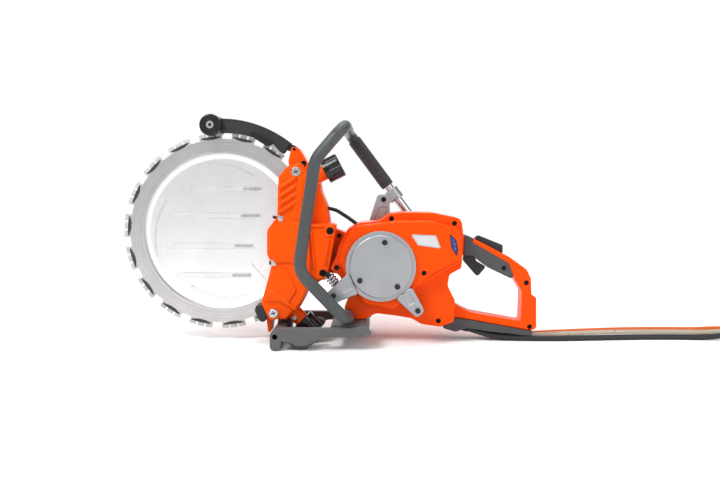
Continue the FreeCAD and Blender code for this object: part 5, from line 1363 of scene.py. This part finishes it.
@dataclass
class MotorHousing:
    """Two moulded halves round the motor, with a status window, a blank label and screws.

    Attributes:
        face: Y of the raised face of the near half, in millimetres.
        window, window_middle: Outline of the window and its middle.
        bezel_width: Width of the frame round it.
        lights: Places of the painted highlight spots on the window.
        light_profile, light_rise: Profile of a spot, and how far behind the face it lies.
        label, border_inset: Outline of the label, and how far inside it the border runs.
        creases: Control points of each raised crease.
        crease_rise, crease_radius: How far behind the face its middle lies, and its radius.
    """

    face: float = -55.0
    window: Triples = (
        (306, 204, 1), (317, 192, 6), (320, 176, 6), (318, 165, 1), (311, 180, 14))
    window_middle: Pair = (314.0, 184.0)
    bezel_width: float = 2.2
    lights: Pairs = ((313.0, 194.0), (315.6, 186.0), (316.2, 178.0))
    light_profile: Pairs = ((0.0, 0.35), (1.1, 0.25), (1.9, -0.1), (1.9, -0.6), (0.0, -0.6))
    light_rise: float = 0.8
    label: Triples = ((235, 204, 2), (281, 202, 2), (290, 178, 2), (248, 184, 2))
    border_inset: float = 1.3
    creases: tuple[Pairs, ...] = (
        ((131, 214), (166, 218.5), (214, 224), (268, 223.5), (312, 211)), ((262, 118), (292, 136), (321, 152)))
    crease_rise: float = 0.35
    crease_radius: float = 1.25

    def build(self) -> None:
        """Dresses the halves and adds the window's bezel and painted highlight spots, the label's border and the
        creases.
        """
        dress_nodes(ORANGE_PLASTIC, "motor_housing_near", "motor_housing_far")
        dress_nodes(BLACK_OXIDE, "housing_screws")
        dress_nodes(BLUE_LENS, "status_window")
        dress_nodes(LABEL_FOIL, "label_plate")
        dress_nodes(BLACK_RUBBER, "water_feed_tube")
        self.bezel()
        self.window_painted_highlights()
        self.label_border()
        self.face_lines()

    def bezel(self) -> None:
        """Dark frame round the status window."""
        maker = MeshMaker("window_bezel")
        inner = rounded(self.window)
        centre = Vector(self.window_middle)
        grown = [tuple(Vector(point) + (Vector(point) - centre).normalized() * self.bezel_width) for point in inner]
        maker.stack(self.face, ((grown, 0.4), (grown, -0.5), (inner, -0.5), (inner, 0.9)), closed=True)
        maker.piece(BLACK_RUBBER, "machine", "black_rubber")

    def window_painted_highlights(self) -> None:
        """Small lighter spots on the window, painted highlights."""
        maker = MeshMaker("window_painted_highlights")
        for x, z in self.lights:
            maker.button((x, self.face + self.light_rise, z), self.light_profile, 24)
        maker.piece(BLUE_PAINTED_HIGHLIGHT, "machine", "blue_lens")

    def label_border(self) -> None:
        """Fine printed border round the blank label."""
        maker = MeshMaker("label_border")
        outline = inset_outline(rounded(self.label), self.border_inset)
        line = [AXES.at(x, self.face - 0.8, z) for x, z in outline]
        maker.sweep(line + line[:1], 0.22, THREAD_SIDES)
        maker.piece(BLUE_LENS, "machine", "label")

    def face_lines(self) -> None:
        """Raised creases moulded into the near half."""
        maker = MeshMaker("housing_creases")
        for run in self.creases:
            points = [AXES.at(x, self.face + self.crease_rise, z) for x, z in run]
            maker.sweep(smooth_line(points), self.crease_radius, 10)
        maker.piece(ORANGE_PLASTIC, "machine", "orange_plastic")


@dataclass
class SideCover:
    """Cast aluminium cover with two legs over the housing's near side.

    Attributes:
        leg_face: Y of the legs' face, in millimetres.
        leg_pads: Outlines of the raised pads on the legs.
        pad_radius: Radius of a pad's corners.
        screws: Places of the screws on the dome and on the legs, with the Y of their heads' tops.
        socket: Radius and first angle of a hexagon socket.
        spring_ends: Ends of the vibration spring behind the front leg.
        spring_radius, wire_radius: Radius of its coil and of its wire.
        turn_steps, coil_steps: Steps in one turn and in the whole coil.
        plug_reach, plug_radius: How far a plug reaches out of the spring and into it, and its radius.
    """

    leg_face: float = -65.0
    leg_pads: tuple[Pairs, ...] = (
        ((105.1, 106.1), (127.2, 117.8), (133.6, 107.2), (111.5, 94.6)),
        ((218.1, 96.6), (231.8, 99.9), (242.4, 79.8), (230.3, 71.9)))
    pad_radius: float = 2.0
    screws: Triples = (
        (187, -73.0, 190), (142, -73.0, 121), (210, -73.0, 110), (94, -69.0, 93), (247, -69.0, 66))
    socket: Pair = (2.4, 15.0)
    spring_ends: Triples = ((84.0, -43.0, 127.0), (101.0, -43.0, 107.0))
    spring_radius: float = 7.6
    wire_radius: float = 2.1
    turn_steps: int = 24
    coil_steps: int = 108
    plug_reach: Pair = (6.0, 7.0)
    plug_radius: float = 5.2

    def build(self) -> None:
        """Dresses the cover and adds leg pads, screw sockets and the vibration spring."""
        dress_nodes(CAST_ALUMINIUM, "side_cover")
        dress_nodes(BLACK_OXIDE, "side_cover_screws")
        dress_nodes(BLACK_RUBBER, "vibration_mounts")
        self.pads()
        self.sockets()
        self.vibration_spring()

    def pads(self) -> None:
        """Raised pads on the two legs, each with a sunk middle."""
        maker = MeshMaker("leg_pads")
        for corners in self.leg_pads:
            outline = rounded([(x, z, self.pad_radius) for x, z in corners])
            insets = ((0.0, 0.4), (0.0, -1.1), (0.5, -1.7), (1.2, -1.6), (1.6, -0.5))
            maker.stack(self.leg_face, tuple((inset_outline(outline, inset), rise) for inset, rise in insets))
        maker.piece(CAST_ALUMINIUM, "machine", "cast_aluminium")

    def sockets(self) -> None:
        """Hexagon sockets in the cover's screws, each with a ring round it, in steel painted dark as painted shade.
        """
        maker = MeshMaker("cover_sockets")
        radius, first = self.socket
        for x, top, z in self.screws:
            maker.prism(circle(x, z, radius, 6, first), top - 0.1, top + 0.3)
            maker.button((x, top, z), [(3.4, -0.3), (3.6, 0.25), (4.2, 0.2), (4.5, -0.3)])
        maker.piece(SHADED_SOCKET_STEEL, "machine", "black_steel")

    def vibration_spring(self) -> None:
        """Coil spring between the roller head and the housing, on a rubber plug at each end."""
        start, end = (AXES.at(*point) for point in self.spring_ends)
        axis = (end - start).normalized()
        side = axis.orthogonal().normalized()
        up = axis.cross(side)
        length = (end - start).length
        points = []
        for step in range(self.coil_steps + 1):
            turn = 2 * math.pi * step / self.turn_steps
            reach = (side * math.cos(turn) + up * math.sin(turn)) * (self.spring_radius * MM)
            points.append(start + axis * (length * step / self.coil_steps) + reach)
        maker = MeshMaker("vibration_spring")
        maker.sweep(points, self.wire_radius, 12)
        maker.piece(TURNED_STEEL, "machine", "bright_steel")
        plugs = MeshMaker("vibration_plugs")
        out, within = (axis * (reach * MM) for reach in self.plug_reach)
        for first, last in ((start - out, start + within), (end - within, end + out)):
            plugs.rod(first, last, self.plug_radius, 28, 1.0)
        plugs.piece(BLACK_RUBBER, "machine", "black_rubber")


@dataclass
class RearHandle:
    """Trigger handle at the rear, with its soft grip, controls and bottom strip.

    Attributes:
        grip_faces: Y of the grip's near face and of its far face, in millimetres.
        grip_screw: Place of the screw in the grip.
        screw_profile: Corners of its head, as radius and height.
        ribs: Number of ribs on the lock-out lever.
        first_rib, rib_pitch: X of the first rib and the distance to the next.
        lever_top: X and Z of the front of the lever's top.
        lever_fall: How far the top falls over how far back.
        rib_ends, rib_radius: Y of a rib's two ends, and its radius.
    """

    grip_faces: Pair = (-14.0, 34.0)
    grip_screw: Pair = (412.0, 138.0)
    screw_profile: Pairs = (
        (0.0, 0.2), (2.1, 0.2), (2.5, 0.9), (3.8, 0.9), (4.4, 0.3), (4.4, -0.5), (0.0, -0.5))
    ribs: int = 7
    first_rib: float = 372.0
    rib_pitch: float = 5.6
    lever_top: Pair = (366.0, 197.4)
    lever_fall: Pair = (19.0, 47.0)
    rib_ends: Pair = (3.8, 16.2)
    rib_radius: float = 0.9

    def build(self) -> None:
        """Dresses the grip and controls and adds the grip's screws and the lever's ribs."""
        dress_nodes(GRIP_ELASTOMER, "rear_grip", "bottom_strip")
        dress_nodes(GUARD_PLASTIC, "trigger", "throttle_lockout", "power_switch")
        dress_nodes(BLACK_RUBBER, "cord_glands")
        self.grip_screws()
        self.thumb_ribs()

    def grip_screws(self) -> None:
        """One dark screw on each side of the grip."""
        maker = MeshMaker("grip_screws")
        x, z = self.grip_screw
        for direction, face in zip((NEAR, -NEAR), self.grip_faces):
            maker.revolve(AXES.at(x, face, z), direction, self.screw_profile, 32)
        maker.piece(BLACK_OXIDE, "machine", "black_steel")

    def thumb_ribs(self) -> None:
        """Fine ribs across the top of the lock-out lever."""
        maker = MeshMaker("lockout_ribs")
        fall, back = self.lever_fall
        for step in range(self.ribs):
            x = self.first_rib + step * self.rib_pitch
            z = self.lever_top[1] - (x - self.lever_top[0]) * fall / back
            first, last = (AXES.at(x, y, z) for y in self.rib_ends)
            maker.rod(first, last, self.rib_radius, 12, 0.3)
        maker.piece(GUARD_PLASTIC, "lockout", "dark_plastic")


@dataclass
class FrontHandle:
    """Bent aluminium tube with a vinyl sleeve in front and a ribbed grip on the far slope.

    Attributes:
        corners: Corners of the tube's line, in millimetres.
        slope_end: Lower end of the far slope.
        bends: Radii of its bends.
        sleeve_radius: Outer radius of the sleeve.
        sleeve_end: Where the sleeve ends, down from the far top corner.
        sleeve_sides, sleeve_ridges, groove: Sides and ridges round the sleeve, and the grooves' depth.
        grip_reach: Where the ribbed grip starts and ends, down from the far top corner.
        grip_radius, grip_bore: Outer and inner radius of the grip.
        grip_ribs: Number of ribs round the grip.
        bracket_face: Y of the bracket's near face.
        bracket: Corners of the raised rim on it, each with its radius.
        rim_section: Insets and rises of that rim's corners.
    """

    corners: Triples = (
        (120, -40, 55), (120, -110, 55), (35, -110, 143), (64, -110, 338), (117, -110, 400), (117, 110, 400))
    slope_end: Triple = (250, 110, 220)
    bends: tuple[float, ...] = (28.0, 45.0, 55.0, 32.0, 15.0)
    sleeve_radius: float = 11.0
    sleeve_end: float = 16.0
    sleeve_sides: int = 84
    sleeve_ridges: int = 14
    groove: float = 0.55
    grip_reach: Pair = (15.6, 132.5)
    grip_radius: float = 13.5
    grip_bore: float = 9.6
    grip_ribs: int = 16
    bracket_face: float = 75.0
    bracket: Triples = (
        (155, 207, 5), (204, 207, 5), (197, 240, 8), (197, 255, 3), (176.5, 255, 3))
    rim_section: Pairs = (
        (0.0, 0.4), (0.0, -1.4), (0.6, -2.2), (3.4, -2.2), (4.2, -1.4), (4.4, 0.4))

    def build(self) -> None:
        """Dresses the tube and its bracket and makes the sleeve, the ribbed grip and the bracket's rim."""
        dress_nodes(TUBE_ALUMINIUM, "handle_tube")
        dress_nodes(CAST_ALUMINIUM, "handle_bracket", "handle_clamp")
        self.sleeve()
        self.grip()
        self.bracket_rim()

    def slope(self, distance: float) -> Vector:
        """Point on the far slope, a distance in millimetres down from its top corner."""
        top, end = Vector(self.corners[-1]), Vector(self.slope_end)
        return top + (end - top).normalized() * distance

    def sleeve(self) -> None:
        """Ridged sleeve round the near side and the crossing bar."""
        corners = [Vector(corner) for corner in self.corners] + [self.slope(self.sleeve_end)]
        line = [AXES.at(*point) for point in bent_line(corners, self.bends)]
        maker = MeshMaker("ridged_sleeve")
        maker.sweep(line, self.sleeve_radius, self.sleeve_sides, self.sleeve_ridges, self.groove)
        maker.piece(SLEEVE_RUBBER, "machine", "sleeve_rubber", ("handle_sleeve",))

    def grip(self) -> None:
        """Grip with lengthwise ribs and a plain collar at each end."""
        start, end = (AXES.at(*self.slope(reach)) for reach in self.grip_reach)
        length = (end - start).length / MM
        radius, bore = self.grip_radius, self.grip_bore
        maker = MeshMaker("ribbed_grip")
        body = [(bore, 4.0), (radius - 0.6, 4.0), (radius, 5.5), (radius, length - 5.5), (radius - 0.6, length - 4.0),
                (bore, length - 4.0)]
        maker.revolve(start, end - start, body, self.grip_ribs * 8, lobes=self.grip_ribs, depth=1.0)
        for low in (0.0, length - 4.6):
            collar = [(bore, low), (radius - 1.2, low), (radius - 0.1, low + 1.1), (radius - 0.1, low + 3.5),
                      (radius - 1.2, low + 4.6), (bore, low + 4.6)]
            maker.revolve(start, end - start, collar, 64)
        maker.piece(RIBBED_RUBBER, "machine", "grip_rubber", ("handle_grip",))

    def bracket_rim(self) -> None:
        """Raised rim on the near face of the bracket, round a sunk panel."""
        outer = rounded(self.bracket)
        maker = MeshMaker("bracket_rim")
        maker.stack(self.bracket_face, tuple((inset_outline(outer, inset), rise) for inset, rise in self.rim_section),
                    closed=True)
        maker.piece(CAST_ALUMINIUM, "machine", "cast_aluminium")


@dataclass
class FootFrame:
    """Moulded foot with a front bar, two rails and a rear plate."""

    def build(self) -> None:
        """Dresses the foot and the splash flap."""
        dress_nodes(FOOT_NYLON, "foot")
        dress_nodes(GUARD_PLASTIC, "splash_flap")


@dataclass
class TrailingCords:
    """Power cable and two hoses that trail behind the saw."""

    def build(self) -> None:
        """Dresses the fittings on the cords' far ends."""
        dress_nodes(BLACK_RUBBER, "power_connector")
        dress_nodes(BRASS, "hose_couplings")


def main() -> None:
    """Builds the studio and the saw's sub-assemblies in order."""
    logging.basicConfig(level=logging.INFO, format="%(name)s: %(message)s")
    Studio().build()
    for cord in (POWER_CABLE, WATER_HOSE, RETURN_HOSE):
        cord.build()
    for part in (RingBlade(), CentreDisc(), RollerHead(), DriveLine(), BladeGuard(), MotorHousing(), SideCover(),
                 RearHandle(), FrontHandle(), FootFrame(), TrailingCords()):
        LOG.info("building %s", type(part).__name__)
        part.build()


if __name__ == "__main__":
    main()
